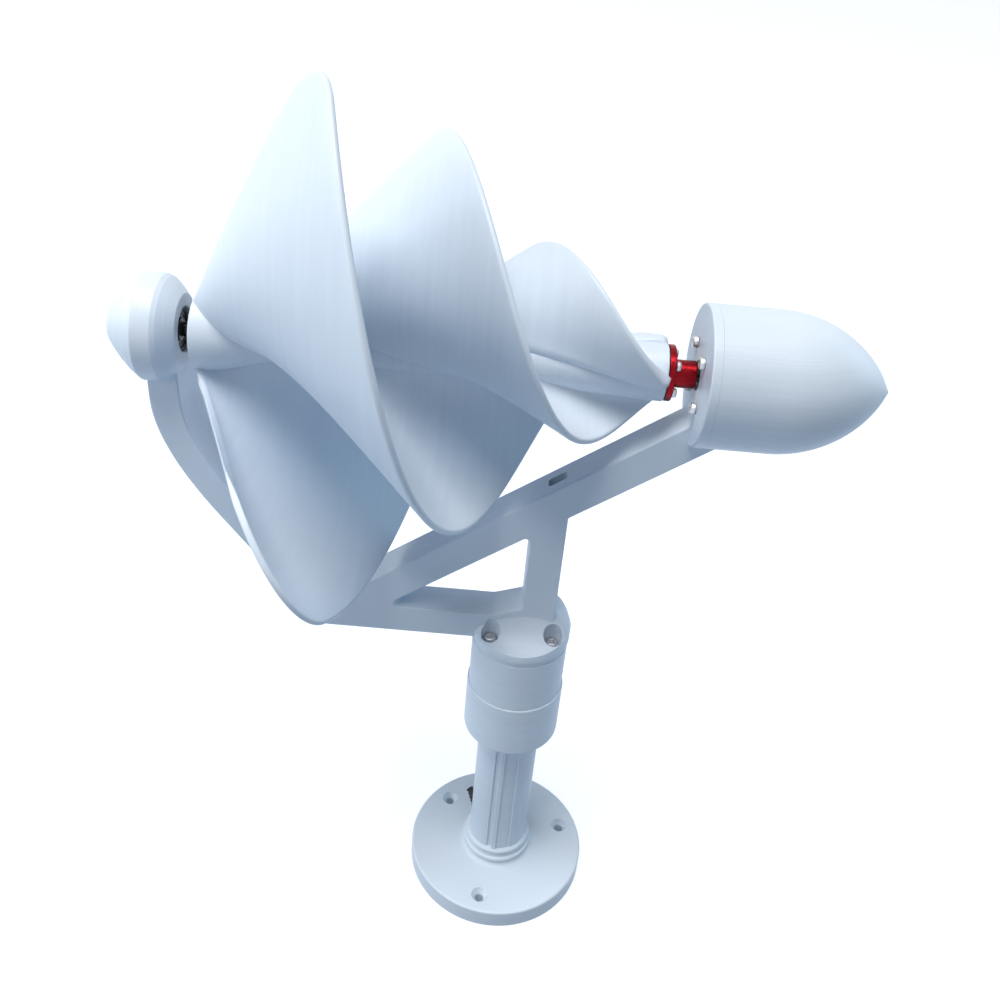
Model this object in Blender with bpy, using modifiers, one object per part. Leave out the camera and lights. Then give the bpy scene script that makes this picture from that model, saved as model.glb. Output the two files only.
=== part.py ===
"""Small spiral-rotor wind turbine on a yawing desk stand.

A round flange carries a post.  A frame turns on the post about Z on two ball bearings, and
carries a nacelle with its generator on one side and a tail bearing on the other.  A rotor of
three spiral blades turns about X between them.  The origin is the centre of the flange's
underside; +Z is up and +X runs along the rotor axis towards the nacelle.  Units are metres.
"""
import math

import bmesh
import bpy
from mathutils import Matrix, Vector

# ---------------------------------------------------------------- driving dimensions
FIT = 0.0003                    # gap between pieces that touch
SEGMENTS = 36                   # facets round a large turned piece
SMALL_SEGMENTS = 16             # facets round a screw or a shaft

# flange and post
FLANGE_RADIUS = 0.050
FLANGE_THICKNESS = 0.0115
FLANGE_EDGE = 0.0012            # chamfer on the flange's rim
FOOT_HOLES = 3
FOOT_HOLE_CIRCLE = 0.0396       # radius of the circle that the holes lie on
FOOT_HOLE_TURN = 18.5           # degrees from +X to the first hole
FOOT_HOLE_RADIUS = 0.0024
FOOT_SINK_RADIUS = 0.0045
FOOT_SINK_DEPTH = 0.0030
COLLAR_HEIGHT = 0.0115          # of the collar round the post's foot, above the flange
COLLAR_WALL = 0.0019
COLLAR_BEAD = 0.0011            # radius of the collar's two beads
POST_RADIUS = 0.0163
POST_BORE = 0.0100
POST_SEAT_DEPTH = 0.0038        # how far the post stands in the flange
POST_TOP = 0.1112
GROOVE_WIDTH = 0.0027
GROOVE_DEPTH = 0.0012
GROOVE_TURN = -107.0            # degrees, on the post's front
RIB_WIDTH = 0.0026
RIB_HEIGHT = 0.0008
RIB_TURN = -97.0

# cable outlet at the foot of the post
OUTLET_TURN = 127.0
OUTLET_HEIGHT = 0.0190
OUTLET_BORE = 0.0015
OUTLET_NECK_RADIUS = 0.0030
OUTLET_COLLAR_RADIUS = 0.0046
OUTLET_REACH = 0.0115           # length of the boot outside the collar

# yaw bearings, spindle and housing
BEARING_RADIUS = 0.0140
BEARING_BORE = 0.0060
BEARING_WIDTH = 0.0080
RACE_RADIUS = 0.0100            # where the inner race meets the outer one
SPINDLE_BORE = 0.0030
SPINDLE_FLANGE_RADIUS = 0.0135
SPINDLE_SHOULDER_RADIUS = 0.0080
SPINDLE_TENON = 0.0200
NUT_RADIUS = 0.0095
NUT_HEIGHT = 0.0040
HOUSING_RADIUS = 0.0248
CUP_PROUD = 0.0003              # the lower cup stands proud of the sleeve by this much
CUP_HEIGHT = 0.0315
SLEEVE_HEIGHT = 0.0290
HOUSING_BORE = 0.0105
RETAINER_HEIGHT = 0.0025
RETAINER_BORE = 0.0120
CAP_HEIGHT = 0.0167             # up to the top of the lower arm
CAP_RIM_HEIGHT = 0.0045         # plain cylinder below the cap's dome
CAP_SCREW_X = 0.0154
CAP_SCREW_Y = 0.0110
CAP_SCREW_SINK = 0.0012         # material left under a screw head
SCREW_RADIUS = 0.0015           # M3
SCREW_HEAD_RADIUS = 0.00275
SCREW_HEAD_HEIGHT = 0.0030
SCREW_SOCKET_RADIUS = 0.0013
CAP_SCREW_LENGTH = 0.0240

# frame
AXIS_OVER_ARM = 0.1354          # rotor axis above the lower arm's top
BAR_WIDTH = 0.0184              # every bar of the frame, front to back
BAR_CHAMFER = 0.0010
STRUT_CENTRE = 0.0071
STRUT_WIDTH = 0.0164
ARM_HEIGHT = 0.0154
BEAM_SLOPE = 0.73
BEAM_UNDER_AXIS = 0.0653        # from the rotor axis down to the beam's top, over the post
BEAM_DEPTH = 0.0201             # measured upright
SLOT_LENGTH = 0.0080
SLOT_WIDTH = 0.0060
SLOT_DEPTH = 0.0120
TAIL_ARM_WIDTH = 0.0134
TAIL_ARM_FOOT = -0.0930         # x where the tail arm meets the lower arm
TAIL_ARM_HEEL = 0.0080          # radius under the tail arm's foot

# nacelle and generator
PLATE_X = 0.0623
PLATE_THICKNESS = 0.0040
PLATE_HUB_BORE = 0.0065
SPIGOT_LENGTH = 0.0040
NACELLE_RADIUS = 0.0310
NACELLE_WALL = 0.0030
NACELLE_STRAIGHT = 0.0284       # cylindrical length of the shell
NOSE_LENGTH = 0.0500
GENERATOR_RADIUS = 0.0185
GENERATOR_LENGTH = 0.0330
GENERATOR_CAP_LENGTH = 0.0070
GENERATOR_BOSS = 0.0026
GENERATOR_SCREW_CIRCLE = 0.0150
GENERATOR_SCREW_LENGTH = 0.0100
SHAFT_RADIUS = 0.0030

# coupling
COUPLING_FLANGE_RADIUS = 0.0122
COUPLING_FLANGE_WIDTH = 0.0028
COUPLING_HUB_RADIUS = 0.0061
COUPLING_GAP = 0.0010           # coupling to nacelle plate
COUPLING_SCREW_CIRCLE = 0.0088
COUPLING_SCREW_HEAD = 0.0020
COUPLING_SCREW_LENGTH = 0.0100
SET_SCREW_X_FROM_END = 0.0042

# rotor
BLADES = 3
BLADE_TURNS = 0.886
BLADE_WALL = 0.0028
TIP_RADIUS = 0.1266             # where the blade's two edges would meet
TIP_X = -0.0965
TIP_ROUND_RADIAL = 0.0600
TIP_ROUND_TURNS = 0.072
EDGE_BOW = -0.116                # how the free edge bows off a plain cone
ROOT_EXPONENT = 1.33
HUB_LEFT_X = -0.1507
HUB_RIGHT_X = 0.0483
HUB_LEFT_RADIUS = 0.0170
HUB_WAIST_RADIUS = 0.0095
HUB_RIGHT_RADIUS = 0.0125
HUB_LEFT_BLEND = 0.0400
HUB_RIGHT_BLEND = 0.0700
FIRST_BLADE_TURN = 86.0
BLADE_LEAN = 20.0                # how far the root is turned ahead of the free edge

# tail bearing and its knob
TAIL_BEARING_X = -0.1579        # face towards the rotor
TAIL_BEARING_RADIUS = 0.0097
TAIL_BEARING_WIDTH = 0.0060
TAIL_RACE_WALL = 0.0016
KNOB_RADIUS = 0.0231
KNOB_FACE_X = -0.1565
KNOB_FACE_RADIUS = 0.0158
KNOB_END_X = -0.1870
KNOB_END_RADIUS = 0.0085
KNOB_BAND = 0.0085              # length of the knob's cylindrical band
KNOB_BAND_X = -0.1638           # the band's end towards the rotor
TAIL_SHAFT_IN_HUB = 0.0300
TAIL_SHAFT_BEYOND = 0.0030

# ---------------------------------------------------------------- derived places
CUP_BOTTOM = POST_TOP + FIT
CUP_TOP = CUP_BOTTOM + CUP_HEIGHT
SLEEVE_BOTTOM = CUP_TOP + FIT
SLEEVE_TOP = SLEEVE_BOTTOM + SLEEVE_HEIGHT
RETAINER_BOTTOM = SLEEVE_TOP + FIT
RETAINER_TOP = RETAINER_BOTTOM + RETAINER_HEIGHT
CAP_BOTTOM = RETAINER_TOP + FIT
ARM_TOP = CAP_BOTTOM + CAP_HEIGHT
AXIS_HEIGHT = ARM_TOP + AXIS_OVER_ARM
BEAM_TOP = AXIS_HEIGHT - BEAM_UNDER_AXIS
UPPER_BEARING_TOP = SLEEVE_TOP - FIT
UPPER_BEARING_BOTTOM = UPPER_BEARING_TOP - BEARING_WIDTH
LOWER_BEARING_BOTTOM = CUP_BOTTOM + 0.0065
LOWER_BEARING_TOP = LOWER_BEARING_BOTTOM + BEARING_WIDTH
NUT_BOTTOM = UPPER_BEARING_TOP + FIT
SPINDLE_TOP = NUT_BOTTOM + NUT_HEIGHT + 0.0015
CAP_RECESS_TOP = SPINDLE_TOP + 0.0030
SCREW_SEAT = CAP_BOTTOM + CAP_SCREW_SINK
BEAM_FOOT = ARM_TOP + FIT
PLATE_BACK = PLATE_X + PLATE_THICKNESS
SHELL_X = PLATE_BACK + FIT
NOSE_X = SHELL_X + NACELLE_STRAIGHT
GENERATOR_X = PLATE_BACK + FIT
COUPLING_X = HUB_RIGHT_X + FIT
COUPLING_END = PLATE_X - COUPLING_GAP
TAIL_SEAT_X = TAIL_BEARING_X - TAIL_BEARING_WIDTH
EDGE_END_X = HUB_RIGHT_X + 0.0010
ROOT_START_X = HUB_LEFT_X

PARTS = "spiral_wind_turbine"
CUTTERS = "cutters"


# ---------------------------------------------------------------- scene and materials
def clear_scene():
    """Start from an empty scene with a collection for parts and one for cutters."""
    for obj in list(bpy.data.objects):
        bpy.data.objects.remove(obj, do_unlink=True)
    for name in (PARTS, CUTTERS):
        collection = bpy.data.collections.new(name)
        bpy.context.scene.collection.children.link(collection)


def material(name, colour, roughness, metallic=0.0):
    """A Principled material, made once for each name."""
    if name in bpy.data.materials:
        return bpy.data.materials[name]
    made = bpy.data.materials.new(name)
    made.use_nodes = True
    shader = made.node_tree.nodes["Principled BSDF"]
    shader.inputs["Base Color"].default_value = (*colour, 1.0)
    shader.inputs["Roughness"].default_value = roughness
    shader.inputs["Metallic"].default_value = metallic
    return made


def white_plastic():
    return material("printed_white", (0.80, 0.84, 0.90), 0.45)


def red_aluminium():
    return material("red_anodised", (0.45, 0.02, 0.04), 0.30, 0.9)


def steel():
    return material("steel", (0.62, 0.62, 0.64), 0.28, 1.0)


def dark_shield():
    return material("bearing_shield", (0.03, 0.03, 0.035), 0.40)


def black_rubber():
    return material("black_rubber", (0.012, 0.012, 0.014), 0.60)


# ---------------------------------------------------------------- making solids
def place(name, mesh, finish, centre=(0, 0, 0), turn=(0, 0, 0), collection=PARTS):
    """Link a mesh as an object of its own and give it its material."""
    obj = bpy.data.objects.new(name, mesh)
    obj.location = centre
    obj.rotation_euler = turn
    bpy.data.collections[collection].objects.link(obj)
    if finish is not None:
        mesh.materials.append(finish)
    if collection == CUTTERS:
        obj.hide_render = True
        obj.display_type = "WIRE"
    return obj


ALONG_X = (0.0, math.pi / 2, 0.0)        # turns a piece made along +Z to lie along +X


def arc(centre_r, centre_z, radius, start, end, steps):
    """Points of an arc in a profile's plane, by angles in degrees."""
    points = []
    for index in range(steps + 1):
        angle = math.radians(start + (end - start) * index / steps)
        points.append((centre_r + radius * math.cos(angle), centre_z + radius * math.sin(angle)))
    return points


def turned(name, profile, finish, ring=False, centre=(0, 0, 0), turn=(0, 0, 0),
           segments=SEGMENTS, collection=PARTS):
    """Turn a profile of (radius, height) points about Z, outer side listed top to bottom."""
    mesh = bpy.data.meshes.new(name)
    points = [(radius, 0.0, height) for radius, height in profile]
    edges = [(index, index + 1) for index in range(len(points) - 1)]
    if ring:
        edges.append((len(points) - 1, 0))
    mesh.from_pydata(points, edges, [])
    obj = place(name, mesh, finish, centre, turn, collection)
    screw = obj.modifiers.new("Turn", "SCREW")
    screw.axis = "Z"
    screw.angle = 2 * math.pi
    screw.steps = segments
    screw.render_steps = segments
    screw.use_merge_vertices = True
    screw.merge_threshold = 0.00001
    screw.use_smooth_shade = True
    return obj


def tube(name, outer, inner, bottom, top, finish, **options):
    """A plain turned ring."""
    profile = [(outer, top), (outer, bottom), (inner, bottom), (inner, top)]
    return turned(name, profile, finish, ring=True, **options)


def rod(name, radius, start, end, finish=None, segments=SMALL_SEGMENTS, collection=CUTTERS):
    """A cylinder between two points; a cutter unless a collection is named."""
    start = Vector(start)
    end = Vector(end)
    span = end - start
    mesh = bpy.data.meshes.new(name)
    shape = bmesh.new()
    bmesh.ops.create_cone(shape, cap_ends=True, segments=segments, radius1=radius,
                          radius2=radius, depth=span.length)
    shape.to_mesh(mesh)
    shape.free()
    obj = place(name, mesh, finish, collection=collection)
    obj.rotation_euler = span.to_track_quat("Z", "Y").to_euler()
    obj.location = (start + end) / 2
    return obj


def block(name, size, centre, finish=None, turn=(0, 0, 0), collection=CUTTERS):
    """A box by its size and centre; a cutter unless a collection is named."""
    mesh = bpy.data.meshes.new(name)
    shape = bmesh.new()
    bmesh.ops.create_cube(shape, size=1.0)
    bmesh.ops.scale(shape, vec=size, verts=shape.verts)
    shape.to_mesh(mesh)
    shape.free()
    return place(name, mesh, finish, centre, turn, collection)


def upright_plate(name, outline, width, finish):
    """A flat outline of (x, z) points, as thick as width from front to back."""
    curve = bpy.data.curves.new(name, "CURVE")
    curve.dimensions = "2D"
    curve.fill_mode = "BOTH"
    curve.extrude = width / 2
    spline = curve.splines.new("POLY")
    spline.points.add(len(outline) - 1)
    for point, (x, z) in zip(spline.points, outline):
        point.co = (x, z, 0.0, 1.0)
    spline.use_cyclic_u = True
    drawn = bpy.data.objects.new(name + "_outline", curve)
    bpy.data.collections[PARTS].objects.link(drawn)
    drawn.rotation_euler = (math.pi / 2, 0.0, 0.0)
    bpy.context.view_layer.update()
    solid = drawn.evaluated_get(bpy.context.evaluated_depsgraph_get())
    mesh = bpy.data.meshes.new_from_object(solid)
    shape = bmesh.new()
    shape.from_mesh(mesh)
    bmesh.ops.remove_doubles(shape, verts=shape.verts, dist=0.00001)
    bmesh.ops.dissolve_limit(shape, angle_limit=0.001, verts=shape.verts, edges=shape.edges)
    shape.to_mesh(mesh)
    shape.free()
    matrix = drawn.matrix_world.copy()
    bpy.data.objects.remove(drawn, do_unlink=True)
    mesh.materials.clear()
    obj = place(name, mesh, finish)
    obj.matrix_world = matrix
    return obj


def boolean(obj, tool, operation="DIFFERENCE"):
    modifier = obj.modifiers.new(tool.name, "BOOLEAN")
    modifier.operation = operation
    modifier.object = tool


def chamfer(obj, width=BAR_CHAMFER):
    """A narrow chamfer along the sharp edges."""
    modifier = obj.modifiers.new("Chamfer", "BEVEL")
    modifier.width = width
    modifier.segments = 1
    modifier.limit_method = "ANGLE"
    modifier.angle_limit = math.radians(40)


def around_x(radius, degrees, x):
    """A point at a radius from the rotor axis; 90 degrees is straight up."""
    angle = math.radians(degrees)
    return Vector((x, radius * math.cos(angle), AXIS_HEIGHT + radius * math.sin(angle)))


def around_z(radius, degrees, z):
    angle = math.radians(degrees)
    return Vector((radius * math.cos(angle), radius * math.sin(angle), z))


def socket_screw(name, centre, turn, length, head_radius=SCREW_HEAD_RADIUS,
                 head_height=SCREW_HEAD_HEIGHT):
    """A cap screw whose head stands on the local plane z = 0 and whose shank runs down."""
    socket = head_height * 0.4
    profile = [(0.0, socket), (SCREW_SOCKET_RADIUS, socket), (SCREW_SOCKET_RADIUS, head_height),
               (head_radius, head_height), (head_radius, 0.0), (SCREW_RADIUS, 0.0),
               (SCREW_RADIUS, -length), (0.0, -length)]
    return turned(name, profile, steel(), centre=centre, turn=turn, segments=SMALL_SEGMENTS)


# ---------------------------------------------------------------- flange and post
def make_flange():
    """Flange with its beaded collar, countersunk holes and a seat for the post."""
    seat = POST_RADIUS + FIT
    seat_floor = FLANGE_THICKNESS - POST_SEAT_DEPTH
    wall = seat + COLLAR_WALL
    top = FLANGE_THICKNESS + COLLAR_HEIGHT
    bead_r = wall - COLLAR_BEAD
    flare = 0.0042
    profile = [(0.0, seat_floor), (seat, seat_floor), (seat, top - 0.0006), (seat + 0.0006, top)]
    profile += arc(bead_r, top - COLLAR_BEAD, COLLAR_BEAD, 90, -60, 3)
    profile += arc(bead_r + 0.0005, top - 0.0055, COLLAR_BEAD, 60, -60, 3)
    profile += arc(wall + 0.0006 + flare, FLANGE_THICKNESS + flare, flare, 180, 270, 3)
    profile += [(FLANGE_RADIUS - FLANGE_EDGE, FLANGE_THICKNESS),
                (FLANGE_RADIUS, FLANGE_THICKNESS - FLANGE_EDGE),
                (FLANGE_RADIUS, FLANGE_EDGE / 2), (FLANGE_RADIUS - FLANGE_EDGE / 2, 0.0),
                (0.0, 0.0)]
    flange = turned("base_flange", profile, white_plastic())
    for index in range(FOOT_HOLES):
        angle = FOOT_HOLE_TURN + 360 * index / FOOT_HOLES
        spot = around_z(FOOT_HOLE_CIRCLE, angle, 0.0)
        sink_bottom = FLANGE_THICKNESS - FOOT_SINK_DEPTH
        above = FLANGE_THICKNESS + 0.002
        slope = (FOOT_SINK_RADIUS - FOOT_HOLE_RADIUS) / FOOT_SINK_DEPTH
        tool = turned(f"foot_hole_tool_{index + 1}",
                      [(0.0, above), (FOOT_SINK_RADIUS + slope * 0.002, above),
                       (FOOT_HOLE_RADIUS, sink_bottom), (FOOT_HOLE_RADIUS, -0.002), (0.0, -0.002)],
                      None, centre=spot, segments=SMALL_SEGMENTS, collection=CUTTERS)
        boolean(flange, tool)


def make_post():
    """Hollow post with a groove, a rib and a hole for the cable outlet, which the collar shares."""
    bottom = FLANGE_THICKNESS - POST_SEAT_DEPTH + FIT
    collar_top = FLANGE_THICKNESS + COLLAR_HEIGHT
    post = tube("post", POST_RADIUS, POST_BORE, bottom, POST_TOP, white_plastic())
    length = POST_TOP - collar_top
    middle = (POST_TOP + collar_top) / 2
    rib = block("rib_tool", (RIB_HEIGHT * 2, RIB_WIDTH, length - 2 * FIT),
                around_z(POST_RADIUS, RIB_TURN, middle), turn=(0, 0, math.radians(RIB_TURN)))
    boolean(post, rib, "UNION")
    groove = block("groove_tool", (GROOVE_DEPTH * 2, GROOVE_WIDTH, length + 0.004),
                   around_z(POST_RADIUS, GROOVE_TURN, middle + 0.002),
                   turn=(0, 0, math.radians(GROOVE_TURN)))
    boolean(post, groove)
    hole = rod("outlet_tool", OUTLET_NECK_RADIUS + FIT,
               around_z(POST_BORE - 0.004, OUTLET_TURN, OUTLET_HEIGHT),
               around_z(POST_RADIUS + 0.008, OUTLET_TURN, OUTLET_HEIGHT))
    boolean(post, hole)
    boolean(bpy.data.objects["base_flange"], hole)


def make_outlet():
    """Rubber boot that lines the cable's way out of the post and its collar."""
    wall_out = POST_RADIUS + COLLAR_WALL + 0.0014 + 2 * FIT
    tip = wall_out + OUTLET_REACH
    collar = wall_out + 0.0018
    profile = [(OUTLET_NECK_RADIUS * 0.72, tip), (OUTLET_NECK_RADIUS * 0.8, tip - 0.0008),
               (OUTLET_NECK_RADIUS * 1.3, collar), (OUTLET_COLLAR_RADIUS, collar),
               (OUTLET_COLLAR_RADIUS, wall_out), (OUTLET_NECK_RADIUS, wall_out),
               (OUTLET_NECK_RADIUS, POST_BORE), (OUTLET_BORE, POST_BORE), (OUTLET_BORE, tip)]
    turn = (0.0, math.pi / 2, math.radians(OUTLET_TURN))
    turned("cable_outlet", profile, black_rubber(), ring=True, centre=(0, 0, OUTLET_HEIGHT),
           turn=turn, segments=SMALL_SEGMENTS)


# ---------------------------------------------------------------- yaw bearings and housing
def bearing_races(name, bottom):
    """Inner and outer race of a yaw bearing."""
    top = bottom + BEARING_WIDTH
    tube(name + "_inner_race", RACE_RADIUS - FIT / 2, BEARING_BORE, bottom, top, steel())
    tube(name + "_outer_race", BEARING_RADIUS, RACE_RADIUS + FIT / 2, bottom, top, steel())


def make_spindle():
    """Stepped spindle in the post's bore, with the nut that holds the upper bearing."""
    journal = BEARING_BORE - FIT
    shoulder = LOWER_BEARING_BOTTOM - FIT
    flange_bottom = POST_TOP + FIT
    flange_top = flange_bottom + 0.0022
    tenon = POST_BORE - FIT
    bottom = flange_bottom - SPINDLE_TENON
    profile = [(journal, SPINDLE_TOP), (journal, shoulder), (SPINDLE_SHOULDER_RADIUS, shoulder),
               (SPINDLE_SHOULDER_RADIUS, flange_top), (SPINDLE_FLANGE_RADIUS, flange_top),
               (SPINDLE_FLANGE_RADIUS, flange_bottom), (tenon, flange_bottom), (tenon, bottom),
               (SPINDLE_BORE, bottom), (SPINDLE_BORE, SPINDLE_TOP)]
    turned("yaw_spindle", profile, steel(), ring=True)
    nut = rod("spindle_nut", NUT_RADIUS, (0, 0, NUT_BOTTOM), (0, 0, NUT_BOTTOM + NUT_HEIGHT),
              steel(), 6, PARTS)
    boolean(nut, rod("nut_tool", BEARING_BORE, (0, 0, NUT_BOTTOM - 0.002), (0, 0, SPINDLE_TOP),
                     segments=SEGMENTS))


def make_housing():
    """Lower cup, sleeve and bearing retainer, stacked under the frame's cap."""
    seat = BEARING_RADIUS + FIT
    cup_radius = HOUSING_RADIUS + CUP_PROUD
    cup_shoulder = LOWER_BEARING_TOP + FIT
    edge = 0.0010
    cup = [(cup_radius - edge, CUP_TOP), (cup_radius, CUP_TOP - edge),
           (cup_radius, CUP_BOTTOM + edge * 2), (cup_radius - edge * 2, CUP_BOTTOM),
           (seat, CUP_BOTTOM), (seat, cup_shoulder), (HOUSING_BORE, cup_shoulder),
           (HOUSING_BORE, CUP_TOP)]
    turned("housing_cup", cup, white_plastic(), ring=True)
    sleeve_radius = HOUSING_RADIUS - CUP_PROUD
    sleeve_shoulder = UPPER_BEARING_BOTTOM - FIT
    profile = [(sleeve_radius, SLEEVE_TOP), (sleeve_radius, SLEEVE_BOTTOM),
               (HOUSING_BORE, SLEEVE_BOTTOM), (HOUSING_BORE, sleeve_shoulder),
               (seat, sleeve_shoulder), (seat, SLEEVE_TOP)]
    sleeve = turned("housing_sleeve", profile, white_plastic(), ring=True)
    retainer = tube("bearing_retainer", sleeve_radius - 0.0004, RETAINER_BORE, RETAINER_BOTTOM,
                    RETAINER_TOP, white_plastic())
    for index, (x, y) in enumerate(cap_screw_places()):
        low = SCREW_SEAT - CAP_SCREW_LENGTH - 0.0010
        tool = rod(f"cap_screw_tool_{index + 1}", SCREW_RADIUS + FIT, (x, y, low), (x, y, ARM_TOP + 0.02))
        boolean(sleeve, tool)
        boolean(retainer, tool)


def cap_screw_places():
    return [(sx * CAP_SCREW_X, sy * CAP_SCREW_Y) for sy in (-1, 1) for sx in (-1, 1)]


def make_cap():
    """Domed cap of the frame, scooped at the front for its screws, with a stub for the arm."""
    rim = CAP_BOTTOM + CAP_RIM_HEIGHT
    plateau = 0.0150
    rise = ARM_TOP - rim
    profile = [(0.0, ARM_TOP), (plateau, ARM_TOP)]
    reach = HOUSING_RADIUS - plateau
    for index in range(1, 6):
        angle = math.radians(90 * index / 5)
        profile.append((plateau + reach * math.sin(angle), rim + rise * math.cos(angle)))
    profile += [(HOUSING_RADIUS, CAP_BOTTOM), (RETAINER_BORE, CAP_BOTTOM),
                (RETAINER_BORE, CAP_RECESS_TOP), (0.0, CAP_RECESS_TOP)]
    cap = turned("frame_cap", profile, white_plastic())
    stub_left = -HOUSING_RADIUS - 0.0010
    stub = block("cap_stub_tool", (-stub_left - 0.0130, BAR_WIDTH, ARM_HEIGHT),
                 ((stub_left - 0.0130) / 2, 0.0, ARM_TOP - ARM_HEIGHT / 2))
    boolean(cap, stub, "UNION")
    scoop_radius = 0.0244
    centre_y = -HOUSING_RADIUS - 0.0064
    centre_z = ARM_TOP + 0.0111
    scoop = rod("cap_scoop_tool", scoop_radius, (-0.04, centre_y, centre_z),
                (0.04, centre_y, centre_z), segments=SEGMENTS)
    boolean(cap, scoop)
    for index, (x, y) in enumerate(cap_screw_places()):
        pocket = rod(f"cap_pocket_tool_{index + 1}", SCREW_HEAD_RADIUS + 2 * FIT,
                     (x, y, SCREW_SEAT), (x, y, ARM_TOP + 0.02))
        boolean(cap, pocket)
        boolean(cap, bpy.data.objects[f"cap_screw_tool_{index + 1}"])
        socket_screw(f"cap_screw_{index + 1}", (x, y, SCREW_SEAT + FIT), (0, 0, 0),
                     CAP_SCREW_LENGTH)


# ---------------------------------------------------------------- frame bars
def beam_top(x):
    return BEAM_TOP + BEAM_SLOPE * x


def beam_bottom(x):
    return beam_top(x) - BEAM_DEPTH


def make_strut():
    """Upright bar from the cap to the underside of the beam."""
    left = STRUT_CENTRE - STRUT_WIDTH / 2
    right = STRUT_CENTRE + STRUT_WIDTH / 2
    foot = ARM_TOP + FIT
    outline = [(left, foot), (right, foot), (right, beam_bottom(right) - FIT),
               (left, beam_bottom(left) - FIT)]
    strut = upright_plate("frame_strut", outline, BAR_WIDTH, white_plastic())
    chamfer(strut)


def nacelle_tool():
    """The nacelle's outer cylinder with its clearance, for cutting the beam's end."""
    return rod("nacelle_tool", NACELLE_RADIUS + FIT, (PLATE_X - FIT, 0, AXIS_HEIGHT),
               (PLATE_X + 0.06, 0, AXIS_HEIGHT), segments=SEGMENTS)


def make_beam():
    """Sloping bar from the lower arm up to the nacelle, with a slot for the wires."""
    foot_left = (BEAM_FOOT - BEAM_TOP) / BEAM_SLOPE
    foot_right = (BEAM_FOOT - BEAM_TOP + BEAM_DEPTH) / BEAM_SLOPE
    end = PLATE_X + 0.0160
    outline = [(foot_left, BEAM_FOOT), (foot_right, BEAM_FOOT), (end, beam_bottom(end)),
               (end, beam_top(end))]
    beam = upright_plate("frame_beam", outline, BAR_WIDTH, white_plastic())
    chamfer(beam)
    boolean(beam, nacelle_tool())
    slot_x = STRUT_CENTRE + 0.0018
    floor = beam_top(slot_x) - SLOT_DEPTH
    slot = block("slot_tool", (SLOT_LENGTH, SLOT_WIDTH, 2 * SLOT_DEPTH),
                 (slot_x, 0.0, floor + SLOT_DEPTH))
    boolean(beam, slot)


def make_lower_arm():
    """Level bar from the cap's stub to the foot of the tail arm."""
    right = -HOUSING_RADIUS - 0.0010 - FIT
    bottom = ARM_TOP - ARM_HEIGHT
    outline = [(TAIL_ARM_FOOT, bottom), (right, bottom), (right, ARM_TOP),
               (TAIL_ARM_FOOT, ARM_TOP)]
    arm = upright_plate("frame_lower_arm", outline, BAR_WIDTH, white_plastic())
    chamfer(arm)


def tail_arm_path(steps):
    """Centre line of the tail arm: straight down from the knob, then a bend, then straight."""
    top = Vector((KNOB_BAND_X - 0.0018, AXIS_HEIGHT - 0.012))
    bend_start = Vector((top.x, AXIS_HEIGHT - 0.030))
    corner = Vector((top.x, AXIS_HEIGHT - 0.052))
    heel = Vector((TAIL_ARM_FOOT - 0.0120, ARM_TOP + 0.0020))
    bend_end = corner.lerp(heel, 0.42)
    points = [top]
    for index in range(steps + 1):
        t = index / steps
        points.append(bend_start * (1 - t) ** 2 + corner * 2 * t * (1 - t) + bend_end * t ** 2)
    points.append(heel)
    return points


def heel_round(outer_heel, along, inward):
    """Arc that runs from the tail arm's outer edge into the lower arm's underside."""
    bottom = ARM_TOP - ARM_HEIGHT
    radius = TAIL_ARM_HEEL
    step = (bottom + radius - outer_heel.y - inward.y * radius) / along.y
    centre = outer_heel + along * step + inward * radius
    start = math.degrees(math.atan2(-inward.y, -inward.x)) % 360
    return [Vector(point) for point in arc(centre.x, centre.y, radius, start, 270, 4)]


def make_tail_arm():
    """Bent bar from the lower arm up to the knob."""
    path = tail_arm_path(8)
    half = TAIL_ARM_WIDTH / 2
    outer = []
    inner = []
    for index, point in enumerate(path):
        before = path[max(index - 1, 0)]
        after = path[min(index + 1, len(path) - 1)]
        along = (after - before).normalized()
        inward = Vector((-along.y, along.x))
        outer.append(point - inward * half)
        inner.append(point + inward * half)
    toe = TAIL_ARM_FOOT - FIT
    ledge = (BEAM_FOOT - BEAM_TOP) / BEAM_SLOPE - 2 * FIT
    outer += heel_round(outer[-1], along, inward)
    foot = [Vector((toe, ARM_TOP - ARM_HEIGHT)), Vector((toe, ARM_TOP)), Vector((ledge, ARM_TOP)),
            Vector((ledge, ARM_TOP + 0.0045))]
    outline = [(point.x, point.y) for point in outer + foot + inner[::-1]]
    arm = upright_plate("frame_tail_arm", outline, BAR_WIDTH, white_plastic())
    chamfer(arm)
    boolean(arm, knob_tool())


# ---------------------------------------------------------------- nacelle
def nose_radius(x, base_radius):
    """Radius of a pointed arch nose, x being measured from where it starts."""
    arch = (base_radius ** 2 + NOSE_LENGTH ** 2) / (2 * base_radius)
    return math.sqrt(max(arch ** 2 - x ** 2, 0.0)) - (arch - base_radius)


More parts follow.
